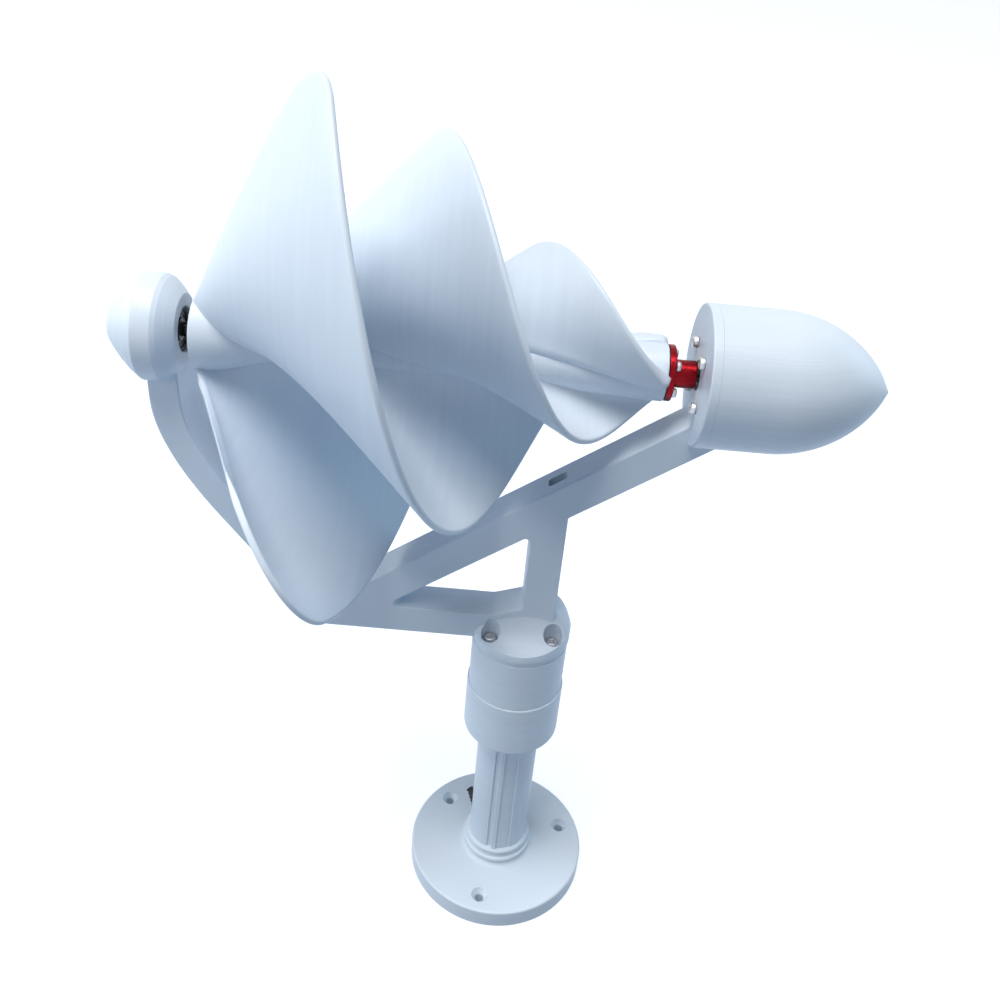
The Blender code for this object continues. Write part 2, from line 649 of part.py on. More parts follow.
def make_plate():
    """Front plate of the nacelle, with a spigot for the shell and holes for the generator."""
    spigot_out = NACELLE_RADIUS - NACELLE_WALL - FIT
    spigot_in = spigot_out - 0.0020
    back = PLATE_THICKNESS
    profile = [(spigot_out, back + SPIGOT_LENGTH), (spigot_out, back), (NACELLE_RADIUS, back),
               (NACELLE_RADIUS, 0.0008), (NACELLE_RADIUS - 0.0008, 0.0), (PLATE_HUB_BORE, 0.0),
               (PLATE_HUB_BORE, back), (spigot_in, back), (spigot_in, back + SPIGOT_LENGTH)]
    plate = turned("nacelle_plate", profile, white_plastic(), ring=True,
                   centre=(PLATE_X, 0, AXIS_HEIGHT), turn=ALONG_X)
    for index in range(4):
        angle = 45 + 90 * index
        deep = GENERATOR_X + GENERATOR_SCREW_LENGTH - PLATE_THICKNESS
        boolean(plate, rod(f"generator_screw_tool_{index + 1}", SCREW_RADIUS + FIT,
                           around_x(GENERATOR_SCREW_CIRCLE, angle, PLATE_X - 0.005),
                           around_x(GENERATOR_SCREW_CIRCLE, angle, deep)))
        socket_screw(f"generator_screw_{index + 1}",
                     around_x(GENERATOR_SCREW_CIRCLE, angle, PLATE_X - FIT),
                     (0.0, -math.pi / 2, 0.0), GENERATOR_SCREW_LENGTH)


def make_shell():
    """Bullet-shaped shell, open towards the plate."""
    steps = 8
    nose = NACELLE_STRAIGHT
    outer = []
    inner = []
    inner_radius = NACELLE_RADIUS - NACELLE_WALL
    for index in range(steps + 1):
        x = NOSE_LENGTH * math.sin(math.radians(90 * index / steps))
        outer.append((nose_radius(x, NACELLE_RADIUS), nose + x))
        x_in = x * (1 - NACELLE_WALL * 1.8 / NOSE_LENGTH)
        inner.append((nose_radius(x, NACELLE_RADIUS) * inner_radius / NACELLE_RADIUS, nose + x_in))
    outer[-1] = (0.0, nose + NOSE_LENGTH)
    inner[-1] = (0.0, inner[-1][1])
    profile = outer[::-1] + [(NACELLE_RADIUS, 0.0), (inner_radius, 0.0)] + inner
    turned("nacelle_shell", profile, white_plastic(), centre=(SHELL_X, 0, AXIS_HEIGHT),
           turn=ALONG_X)


def make_generator():
    """Generator behind the plate: case with its boss, end bell and two terminals."""
    boss = PLATE_HUB_BORE - FIT
    bore = SHAFT_RADIUS + FIT
    length = GENERATOR_LENGTH
    profile = [(GENERATOR_RADIUS, length), (GENERATOR_RADIUS, 0.0), (boss, 0.0),
               (boss, -GENERATOR_BOSS), (bore, -GENERATOR_BOSS), (bore, length)]
    case = turned("generator_case", profile, steel(), ring=True,
                  centre=(GENERATOR_X, 0, AXIS_HEIGHT), turn=ALONG_X)
    for index in range(4):
        boolean(case, bpy.data.objects[f"generator_screw_tool_{index + 1}"])
    bell_start = GENERATOR_X + length + FIT
    bell = GENERATOR_RADIUS - 0.0012
    profile = [(0.0, GENERATOR_CAP_LENGTH), (bell * 0.6, GENERATOR_CAP_LENGTH),
               (bell, GENERATOR_CAP_LENGTH * 0.7), (bell, 0.0), (0.0, 0.0)]
    turned("generator_bell", profile, black_rubber(), centre=(bell_start, 0, AXIS_HEIGHT),
           turn=ALONG_X)
    for index, side in enumerate((-1, 1)):
        tab = (0.0050, 0.0008, 0.0028)
        centre = (bell_start + GENERATOR_CAP_LENGTH + FIT + tab[0] / 2, side * 0.0060, AXIS_HEIGHT)
        block(f"generator_terminal_{index + 1}", tab, centre, steel(), collection=PARTS)


# ---------------------------------------------------------------- coupling and shafts
def make_coupling():
    """Flanged coupling between the rotor's hub and the generator's shaft, with its screws."""
    bore = SHAFT_RADIUS + FIT
    length = COUPLING_END - COUPLING_X
    profile = [(bore + 0.0004, length), (COUPLING_HUB_RADIUS - 0.0003, length),
               (COUPLING_HUB_RADIUS, length - 0.0003),
               (COUPLING_HUB_RADIUS, COUPLING_FLANGE_WIDTH),
               (COUPLING_FLANGE_RADIUS - 0.0003, COUPLING_FLANGE_WIDTH),
               (COUPLING_FLANGE_RADIUS, COUPLING_FLANGE_WIDTH - 0.0003),
               (COUPLING_FLANGE_RADIUS, 0.0), (bore, 0.0), (bore, length - 0.0004)]
    coupling = turned("coupling", profile, red_aluminium(), ring=True,
                      centre=(COUPLING_X, 0, AXIS_HEIGHT), turn=ALONG_X)
    face = COUPLING_X + COUPLING_FLANGE_WIDTH
    for index in range(4):
        angle = 45 + 90 * index
        tip = face + FIT - COUPLING_SCREW_LENGTH - 0.0006
        tool = rod(f"coupling_screw_tool_{index + 1}", SCREW_RADIUS + FIT,
                   around_x(COUPLING_SCREW_CIRCLE, angle, tip),
                   around_x(COUPLING_SCREW_CIRCLE, angle, face + 0.002))
        boolean(coupling, tool)
        boolean(bpy.data.objects["rotor_hub"], tool)
        socket_screw(f"coupling_screw_{index + 1}",
                     around_x(COUPLING_SCREW_CIRCLE, angle, face + FIT), ALONG_X,
                     COUPLING_SCREW_LENGTH, COUPLING_SCREW_HEAD, COUPLING_SCREW_HEAD)
    x = COUPLING_END - SET_SCREW_X_FROM_END
    for index, angle in enumerate((20, 290)):
        boolean(coupling, rod(f"set_screw_tool_{index + 1}", SCREW_RADIUS + FIT,
                              around_x(SHAFT_RADIUS, angle, x),
                              around_x(COUPLING_HUB_RADIUS + 0.002, angle, x)))
        rod(f"set_screw_{index + 1}", SCREW_RADIUS,
            around_x(SHAFT_RADIUS + FIT, angle, x),
            around_x(COUPLING_HUB_RADIUS - 0.0002, angle, x), steel(), 12, PARTS)


def make_shafts():
    """The generator's shaft and the stub shaft of the tail bearing."""
    start = HUB_RIGHT_X - 0.0080
    end = GENERATOR_X + GENERATOR_LENGTH - 0.0010
    rod("generator_shaft", SHAFT_RADIUS, (start, 0, AXIS_HEIGHT), (end, 0, AXIS_HEIGHT), steel(),
        SMALL_SEGMENTS, PARTS)
    start = TAIL_SEAT_X - TAIL_SHAFT_BEYOND
    end = HUB_LEFT_X + TAIL_SHAFT_IN_HUB
    rod("tail_shaft", SHAFT_RADIUS, (start, 0, AXIS_HEIGHT), (end, 0, AXIS_HEIGHT), steel(),
        SMALL_SEGMENTS, PARTS)


# ---------------------------------------------------------------- rotor
def smooth(t):
    t = min(max(t, 0.0), 1.0)
    return t * t * (3 - 2 * t)


def hub_radius(x):
    """Radius of the rotor's hub: wide at the tail end, waisted, wider again at the coupling."""
    left = 1 - smooth((x - HUB_LEFT_X) / HUB_LEFT_BLEND)
    right = smooth((x - (HUB_RIGHT_X - HUB_RIGHT_BLEND)) / HUB_RIGHT_BLEND)
    radius = HUB_WAIST_RADIUS + (HUB_LEFT_RADIUS - HUB_WAIST_RADIUS) * left
    return radius + (HUB_RIGHT_RADIUS - HUB_WAIST_RADIUS) * right


def hub_profile(grow, bore=None):
    """The hub's outline by height along the axis, grown by a clearance."""
    length = HUB_RIGHT_X - HUB_LEFT_X
    steps = 12
    outline = []
    for index in range(steps, -1, -1):
        height = length * index / steps
        outline.append((hub_radius(HUB_LEFT_X + height) + grow, height))
    if bore is None:
        beyond = grow * 30
        first, last = outline[0][0], outline[-1][0]
        outline = [(0.0, length + beyond), (first, length + beyond)] + outline
        outline += [(last, -beyond), (0.0, -beyond)]
    else:
        outline += [(bore, 0.0), (bore, length)]
    return outline


def make_hub():
    turned("rotor_hub", hub_profile(0.0, SHAFT_RADIUS + FIT), white_plastic(), ring=True,
           centre=(HUB_LEFT_X, 0, AXIS_HEIGHT), turn=ALONG_X)


def blade_point(turns, across):
    """A point of a blade: turns round from its tip, and 0 at the root to 1 at the free edge."""
    part = turns / BLADE_TURNS
    drawn_in = part + EDGE_BOW * part * (1 - part) * (1 - 2 * part)
    edge_radius = TIP_RADIUS + (HUB_RIGHT_RADIUS - TIP_RADIUS) * drawn_in
    edge_x = TIP_X + (EDGE_END_X - TIP_X) * part
    root_x = ROOT_START_X + (EDGE_END_X - ROOT_START_X) * part ** ROOT_EXPONENT
    root_radius = hub_radius(root_x) - 0.0030
    trim = max(1 - turns / TIP_ROUND_TURNS, 0.0)
    cut = TIP_ROUND_RADIAL * (1 - math.sqrt(1 - trim * trim))
    across *= 1 - cut / (edge_radius - root_radius)
    radius = root_radius + (edge_radius - root_radius) * across
    x = root_x + (edge_x - root_x) * across
    return x, radius


def make_blades():
    """Spiral blades: straight lines from the hub out to an edge that winds in to the coupling."""
    along = 36
    out = 4
    envelope = turned("hub_envelope_tool", hub_profile(FIT), None,
                      centre=(HUB_LEFT_X, 0, AXIS_HEIGHT), turn=ALONG_X, collection=CUTTERS)
    for number in range(BLADES):
        mesh = bpy.data.meshes.new(f"blade_{number + 1}")
        shape = bmesh.new()
        bmesh.ops.create_grid(shape, x_segments=along, y_segments=out, size=0.5)
        for vert in shape.verts:
            turns = BLADE_TURNS * (vert.co.x + 0.5) ** 1.4
            x, radius = blade_point(turns, vert.co.y + 0.5)
            angle = FIRST_BLADE_TURN + 360 * (number / BLADES + turns)
            angle += BLADE_LEAN * (0.5 - vert.co.y)
            vert.co = around_x(radius, angle, x)
        shape.to_mesh(mesh)
        shape.free()
        blade = place(f"blade_{number + 1}", mesh, white_plastic())
        wall = blade.modifiers.new("Wall", "SOLIDIFY")
        wall.thickness = BLADE_WALL
        wall.offset = 0.0
        boolean(blade, envelope)


# ---------------------------------------------------------------- tail bearing
def knob_profile(grow=0.0):
    """Faceted knob, heights measured from its far end towards the rotor."""
    band_left = KNOB_BAND_X - KNOB_BAND - KNOB_END_X
    band_right = KNOB_BAND_X - KNOB_END_X
    face = KNOB_FACE_X - KNOB_END_X
    shoulder = KNOB_END_RADIUS + (KNOB_RADIUS - KNOB_END_RADIUS) * 0.56
    return [(KNOB_FACE_RADIUS + grow, face + grow), (KNOB_RADIUS + grow, band_right + grow),
            (KNOB_RADIUS + grow, band_left - grow), (shoulder + grow, band_left * 0.48 - grow),
            (KNOB_END_RADIUS + grow, -grow)]


def knob_tool():
    profile = knob_profile(FIT)
    closed = [(0.0, profile[0][1])] + profile + [(0.0, profile[-1][1])]
    return turned("knob_tool", closed, None, centre=(KNOB_END_X, 0, AXIS_HEIGHT), turn=ALONG_X,
                  collection=CUTTERS)


def make_knob():
    """Knob that holds the tail bearing, open towards the rotor."""
    seat = TAIL_BEARING_RADIUS + FIT
    seat_floor = TAIL_SEAT_X - FIT - KNOB_END_X
    relief = SHAFT_RADIUS + 0.0015
    relief_floor = TAIL_SEAT_X - TAIL_SHAFT_BEYOND - 0.0010 - KNOB_END_X
    face = KNOB_FACE_X - KNOB_END_X
    profile = knob_profile() + [(0.0, 0.0), (0.0, relief_floor), (relief, relief_floor),
                                (relief, seat_floor), (seat, seat_floor), (seat, face)]
    turned("tail_knob", profile, white_plastic(), ring=True,
           centre=(KNOB_END_X, 0, AXIS_HEIGHT), turn=ALONG_X)


def make_tail_bearing():
    """Outer race, dark shield and inner race."""
    width = TAIL_BEARING_WIDTH
    bore = SHAFT_RADIUS + FIT
    options = {"centre": (TAIL_SEAT_X, 0, AXIS_HEIGHT), "turn": ALONG_X, "segments": 32}
    outer_inside = TAIL_BEARING_RADIUS - TAIL_RACE_WALL
    inner_outside = bore + TAIL_RACE_WALL
    tube("tail_bearing_outer_race", TAIL_BEARING_RADIUS, outer_inside, 0.0, width, steel(),
         **options)
    tube("tail_bearing_shield", outer_inside - FIT, inner_outside + FIT, 0.0005, width - 0.0005,
         dark_shield(), **options)
    tube("tail_bearing_inner_race", inner_outside, bore, 0.0, width, steel(), **options)


# ---------------------------------------------------------------- assembly
def main():
    clear_scene()
    make_flange()
    make_post()
    make_outlet()
    make_spindle()
    bearing_races("lower_bearing", LOWER_BEARING_BOTTOM)
    bearing_races("upper_bearing", UPPER_BEARING_BOTTOM)
    make_housing()
    make_cap()
    make_strut()
    make_beam()
    make_lower_arm()
    make_tail_arm()
    make_plate()
    make_shell()
    make_generator()
    make_hub()
    make_coupling()
    make_shafts()
    make_blades()
    make_knob()
    make_tail_bearing()


main()
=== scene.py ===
"""Spiral wind turbine: the finished look, built round its packed frame.

Every piece is a surface worked out as arrays of points: a profile turned about an axis, a flat
outline given a width, or a grid that follows a formula.  Units are metres, and the frame's
origin and axes are kept: +Z is up along the post and +X runs along the rotor axis.
"""

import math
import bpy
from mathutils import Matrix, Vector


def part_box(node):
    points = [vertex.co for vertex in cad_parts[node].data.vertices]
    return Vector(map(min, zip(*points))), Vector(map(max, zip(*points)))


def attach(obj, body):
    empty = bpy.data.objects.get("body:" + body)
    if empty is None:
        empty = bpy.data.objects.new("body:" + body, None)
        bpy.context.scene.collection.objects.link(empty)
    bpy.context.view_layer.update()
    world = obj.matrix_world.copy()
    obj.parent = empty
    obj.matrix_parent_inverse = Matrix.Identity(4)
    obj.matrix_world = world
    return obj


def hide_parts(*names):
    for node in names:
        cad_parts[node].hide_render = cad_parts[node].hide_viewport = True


bl_info = {
    "name": "Spiral wind turbine",
    "version": (1, 0, 0),
    "blender": (4, 5, 0),
    "location": "View3D > Sidebar > Turbine",
    "description": "Builds the finished pieces of a desk wind turbine over its packed frame",
    "category": "Object",
}

import bpy
import numpy as np
from bpy.props import FloatProperty, FloatVectorProperty, IntProperty, PointerProperty
from mathutils import Matrix, Vector
from mathutils.geometry import tessellate_polygon

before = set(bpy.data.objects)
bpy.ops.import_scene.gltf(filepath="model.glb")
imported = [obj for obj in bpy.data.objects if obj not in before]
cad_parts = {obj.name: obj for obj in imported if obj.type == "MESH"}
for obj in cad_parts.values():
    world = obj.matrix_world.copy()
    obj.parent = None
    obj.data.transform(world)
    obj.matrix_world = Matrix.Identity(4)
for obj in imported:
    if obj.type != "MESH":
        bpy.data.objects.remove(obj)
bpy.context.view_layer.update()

AXIS_HEIGHT = sum(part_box("generator_shaft")[i].z for i in (0, 1)) / 2
BEAM_HEIGHT = AXIS_HEIGHT - 0.0653      # the beam's top edge, over the post's axis
COUPLING_END = 0.0125                   # radius of the hub where the blades end
FLANGE_DECK = 0.0115                    # the flange's upper face
SEAM = 0.00004                          # left open between pieces that meet
X_AXIS = "X"
Z_AXIS = "Z"


# ---------------------------------------------------------------- settings
class TurbineStand(bpy.types.PropertyGroup):
    """Sizes of the flange, post and housing."""
    flange_edge: FloatProperty(name="Flange edge", description="Rounding of the flange's rim",
                               default=0.0012, unit="LENGTH")
    collar_bead: FloatProperty(name="Collar bead", description="Radius of the collar's beads",
                               default=0.0015, unit="LENGTH")
    groove_turn: FloatProperty(name="Groove turn", description="Where the post's groove runs",
                               default=math.radians(-107), subtype="ANGLE")
    groove_width: FloatProperty(name="Groove width", description="Width of the post's groove",
                                default=0.0027, unit="LENGTH")
    groove_depth: FloatProperty(name="Groove depth", description="Depth of the post's groove",
                                default=0.0012, unit="LENGTH")
    rib_turn: FloatProperty(name="Rib turn", description="Where the post's rib runs",
                            default=math.radians(-97), subtype="ANGLE")
    rib_width: FloatProperty(name="Rib width", description="Width of the post's rib",
                             default=0.0026, unit="LENGTH")
    rib_height: FloatProperty(name="Rib height", description="How far the rib stands proud",
                              default=0.0007, unit="LENGTH")
    flat_turn: FloatProperty(name="Flat turn", description="Where the post's flat runs",
                             default=math.radians(-79), subtype="ANGLE")
    flat_width: FloatProperty(name="Flat width", description="Angle that the flat takes up",
                              default=math.radians(26), subtype="ANGLE")
    flat_depth: FloatProperty(name="Flat depth", description="Depth of the post's flat",
                              default=0.0004, unit="LENGTH")
    hole_circle: FloatProperty(name="Hole circle", description="Radius that the holes lie on",
                               default=0.0396, unit="LENGTH")
    hole_turn: FloatProperty(name="Hole turn", description="Where the first hole lies",
                             default=math.radians(18.5), subtype="ANGLE")


class TurbineFrame(bpy.types.PropertyGroup):
    """Sizes of the one-piece frame."""
    edge_round: FloatProperty(name="Edge rounding", description="Rounding of the bars' edges",
                              default=0.0008, unit="LENGTH")
    beam_slope: FloatProperty(name="Beam slope", description="Rise of the beam over its run",
                              default=0.73)
    beam_depth: FloatProperty(name="Beam depth", description="Depth of the beam, upright",
                              default=0.0201, unit="LENGTH")
    arm_width: FloatProperty(name="Tail arm width", description="Width of the tail arm",
                             default=0.0134, unit="LENGTH")
    arm_root: FloatProperty(name="Tail arm root", description="Growth of the depth behind the knob",
                            default=1.9)
    pocket_mouth: FloatProperty(name="Pocket mouth", description="Radius of a screw pocket's mouth",
                                default=0.0049, unit="LENGTH")
    pocket_lean: FloatProperty(name="Pocket lean", description="Tilt of a screw pocket's mouth",
                               default=math.radians(13), subtype="ANGLE")
    dome_right: FloatProperty(name="Shoulder", description="Rise of the cap's shoulder",
                              default=0.0230, unit="LENGTH")
    dome_left: FloatProperty(name="Low shoulder", description="Rise of the cap beside the arm",
                             default=0.0129, unit="LENGTH")


class TurbineRotor(bpy.types.PropertyGroup):
    """Sizes of the rotor."""
    blades: IntProperty(name="Blades", description="Number of spiral blades", default=3)
    turns: FloatProperty(name="Turns", description="How far each blade winds round the hub",
                         default=0.886)
    wall: FloatProperty(name="Blade wall", description="Thickness of a blade",
                        default=0.0028, unit="LENGTH")
    tip_radius: FloatProperty(name="Tip radius", description="Radius where a blade's edges meet",
                              default=0.1265, unit="LENGTH")
    tip_round: FloatProperty(name="Tip rounding", description="Height of the tip's rounding",
                             default=0.0600, unit="LENGTH")
    lean: FloatProperty(name="Lean", description="How far a root is turned ahead of its edge",
                        default=math.radians(20), subtype="ANGLE")
    first_turn: FloatProperty(name="First turn", description="Where the first blade starts",
                              default=math.radians(86), subtype="ANGLE")
    edge_bow: FloatProperty(name="Edge bow", description="How far the edge bows off a cone",
                            default=-0.116)
    edge_start: FloatProperty(name="Edge start", description="Where along X the edge starts",
                              default=-0.0965, unit="LENGTH")
    round_turns: FloatProperty(name="Rounding turns", description="Turns that the rounding takes",
                               default=0.072)
    root_power: FloatProperty(name="Root power", description="Power of the turn in a root's run",
                              default=1.33)
    root_blend: FloatProperty(name="Root blend", description="Thickening of a blade at the hub",
                              default=0.0030, unit="LENGTH")


class TurbineFinish(bpy.types.PropertyGroup):
    """Colours of the finishes."""
    plastic: FloatVectorProperty(name="Plastic", description="Colour of the printed plastic",
                                 default=(0.70, 0.775, 0.865), subtype="COLOR", size=3)
    anodised: FloatVectorProperty(name="Anodised", description="Colour of the coupling",
                                  default=(0.25, 0.002, 0.008), subtype="COLOR", size=3)
    rubber: FloatVectorProperty(name="Rubber", description="Colour of the cable boot",
                                default=(0.005, 0.005, 0.006), subtype="COLOR", size=3)
    steel: FloatVectorProperty(name="Steel", description="Colour of screws and shafts",
                               default=(0.14, 0.145, 0.155), subtype="COLOR", size=3)
    layer: FloatProperty(name="Layer height", description="Spacing of the printed layers",
                         default=0.0004, unit="LENGTH")


class TurbineStage(bpy.types.PropertyGroup):
    """Light and floor."""
    floor: FloatVectorProperty(name="Floor", description="Colour of the floor",
                               default=(0.26, 0.33, 0.42), subtype="COLOR", size=3)
    lift: FloatProperty(name="Floor lift", description="White added to the floor in view",
                        default=0.82)
    key: FloatProperty(name="Key light", description="Power of the key light", default=430.0)
    fill: FloatProperty(name="Fill light", description="Power of the side lights", default=6.0)
    sky: FloatProperty(name="Sky light", description="Strength of the light all round",
                       default=0.165)


# ---------------------------------------------------------------- profiles
def soften(points, radius, steps=5, closed=False, support=0.00008):
    """Round an outline's corners: each gives way to an arc tangent to both of its sides.

    radius is one number or one for each point.  A point a hair outside each end of an arc
    keeps the flats beside it flat when they are shaded.
    """
    points = [np.array(point, float) for point in points]
    count = len(points)
    radii = np.broadcast_to(np.asarray(radius, float), count)
    result = []
    for index, corner in enumerate(points):
        ends = not closed and index in (0, count - 1)
        if ends or radii[index] <= 0:
            result.append(corner)
            continue
        before = points[index - 1] - corner
        after = points[(index + 1) % count] - corner
        to_before = before / np.linalg.norm(before)
        to_after = after / np.linalg.norm(after)
        half = math.acos(np.clip(to_before @ to_after, -1, 1)) / 2
        if half > math.pi / 2 - 0.01:
            result.append(corner)
            continue
        reach = min(radii[index] / math.tan(half), 0.47 * np.linalg.norm(before),
                    0.47 * np.linalg.norm(after))
        turn = reach * math.tan(half)
        middle = to_before + to_after
        centre = corner + middle / np.linalg.norm(middle) * turn / math.sin(half)
        start = corner + to_before * reach - centre
        end = corner + to_after * reach - centre
        sweep = math.pi - 2 * half
        result.append(corner + to_before * (reach + support))
        for step in range(steps + 1):
            part = step / steps
            blend = (math.sin((1 - part) * sweep) * start + math.sin(part * sweep) * end)
            result.append(centre + blend / math.sin(sweep))
        result.append(corner + to_after * (reach + support))
    return np.array(result)


def ramp(value, low, high):
    """A smooth step from 0 at low to 1 at high."""
    part = np.clip((value - low) / (high - low), 0, 1)
    return part * part * (3 - 2 * part)


# ---------------------------------------------------------------- shells
def grid_faces(rows, columns, wrap_rows, wrap_columns):
    """Quads of a grid of points numbered row by row."""
    index = np.arange(rows * columns).reshape(rows, columns)
    if wrap_rows:
        index = np.vstack([index, index[:1]])
    if wrap_columns:
        index = np.hstack([index, index[:, :1]])
    corners = (index[:-1, :-1], index[1:, :-1], index[1:, 1:], index[:-1, 1:])
    return np.stack([corner.ravel() for corner in corners], 1)


def outward(points, faces):
    """Turn a closed shell's faces the right way: its volume by signed tetrahedra is positive."""
    volume = 0.0
    for group in faces:
        for second in range(1, group.shape[1] - 1):
            a = points[group[:, 0]]
            b = points[group[:, second]]
            c = points[group[:, second + 1]]
            volume += np.einsum("ij,ij->", a, np.cross(b, c))
    if volume < 0:
        faces = [group[:, ::-1] for group in faces]
    return points, faces


def loop_shell(points, wrap_rows=False, start=None, end=None):
    """A shell of closed loops of points, one loop a row, closed at its ends by two poles."""
    rows, columns, _ = points.shape
    flat = points.reshape(-1, 3)
    faces = [grid_faces(rows, columns, wrap_rows, True)]
    ring = np.arange(columns)
    around = np.roll(ring, -1)
    for pole, base, order in ((start, 0, 1), (end, (rows - 1) * columns, -1)):
        if pole is None:
            continue
        pole_index = np.full(columns, len(flat))
        flat = np.vstack([flat, np.asarray(pole, float)[None]])
        fan = np.stack([pole_index, base + ring, base + around], 1)
        faces.append(fan[:, ::order])
    return outward(flat, faces)


def turned(profile, axis, centre=(0, 0, 0), segments=128, shape=None):
    """Turn (radius, height) points about an axis: centre + height * axis + radius * (cos, sin).

    A radius of nothing at an end is a pole.  shape(row, angle) may scale the radius.
    """
    profile = np.asarray(profile, float)
    start_pole = profile[0, 0] < 1e-7
    end_pole = profile[-1, 0] < 1e-7
    heights = profile[:, 1]
    rows = profile[(1 if start_pole else 0):(len(profile) - 1 if end_pole else len(profile))]
    angle = np.linspace(0, 2 * math.pi, segments, endpoint=False)
    radius = np.repeat(rows[:, :1], segments, 1)
    if shape is not None:
        radius = shape(radius, rows[:, 1:], angle[None])
    across = radius * np.cos(angle)
    up = radius * np.sin(angle)
    height = np.repeat(rows[:, 1:], segments, 1)
    order = (height, across, up) if axis == X_AXIS else (across, up, height)
    points = np.stack(order, 2) + np.asarray(centre, float)
    poles = []
    for used, value in ((start_pole, heights[0]), (end_pole, heights[-1])):
        along = (value, 0, 0) if axis == X_AXIS else (0, 0, value)
        poles.append(np.asarray(centre, float) + along if used else None)
    ring = not start_pole and not end_pole
    return loop_shell(points, wrap_rows=ring, start=poles[0], end=poles[1])


def moved(shell, matrix):
    """A shell carried by a matrix."""
    points, faces = shell
    turn = np.array(matrix)
    return points @ turn[:3, :3].T + turn[:3, 3], faces


# ---------------------------------------------------------------- pieces
def mesh_object(name, shells, smooth=35):
    """One object from one or more shells, shaded smooth except over sharp edges."""
    points = []
    faces = []
    count = 0
    for shell_points, groups in shells:
        points.append(shell_points)
        for group in groups:
            faces += (group + count).tolist()
        count += len(shell_points)
    mesh = bpy.data.meshes.new(name)
    mesh.from_pydata(np.vstack(points), [], faces)
    mesh.validate()
    mesh.shade_smooth()
    mesh.set_sharp_from_angle(angle=math.radians(smooth))
    obj = bpy.data.objects.new(name, mesh)
    bpy.context.scene.collection.objects.link(obj)
    return obj


def solid_change(obj, tools, operation):
    """Join or cut a solid with others and keep the result as its mesh."""
    for tool in tools:
        change = obj.modifiers.new(operation, "BOOLEAN")
        change.operation = operation
        change.solver = "MANIFOLD"
        change.object = tool
    bpy.context.view_layer.update()
    made = bpy.data.meshes.new_from_object(
        obj.evaluated_get(bpy.context.evaluated_depsgraph_get()))
    obj.modifiers.clear()
    old = obj.data
    obj.data = made
    made.name = obj.name
    bpy.data.meshes.remove(old)
    for tool in tools:
        mesh = tool.data
        bpy.data.objects.remove(tool)
        bpy.data.meshes.remove(mesh)
    return obj


def reshade(obj, smooth=35, flat_axis=None):
    """Shade smooth again after a cut, with faces square to flat_axis kept truly flat."""
    mesh = obj.data
    mesh.shade_smooth()
    mesh.set_sharp_from_angle(angle=math.radians(smooth))
    if flat_axis is not None:
        normals = np.zeros(len(mesh.polygons) * 3, np.float32)
        mesh.polygons.foreach_get("normal", normals)
        level = np.abs(normals.reshape(-1, 3)[:, flat_axis]) < 0.99999
        mesh.polygons.foreach_set("use_smooth", level)
    mesh.update()


def finish_piece(obj, finish, body, slot, *nodes):
    """Give a piece its material, the body it rides on and the nodes it stands for."""
    obj.data.materials.clear()
    obj.data.materials.append(finish)
    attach(obj, body)
    if nodes:
        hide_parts(*nodes)
    return obj


def repaint(finish, *nodes):
    """Give packed nodes that stay in sight or inside a better material."""
    for node in nodes:
        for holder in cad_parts[node].material_slots:
            holder.material = finish


# ---------------------------------------------------------------- finishes
def shader_of(material):
    """A material's Principled shader node."""
    return material.node_tree.nodes["Principled BSDF"]


def new_finish(name, colour, roughness, metallic=0.0, specular=0.5):
    """A plain Principled material to build a finish on."""
    made = bpy.data.materials.new(name)
    made.use_nodes = True
    shader = shader_of(made)
    shader.inputs["Base Color"].default_value = (*colour, 1)
    shader.inputs["Roughness"].default_value = roughness
    shader.inputs["Metallic"].default_value = metallic
    shader.inputs["Specular IOR Level"].default_value = specular
    return made


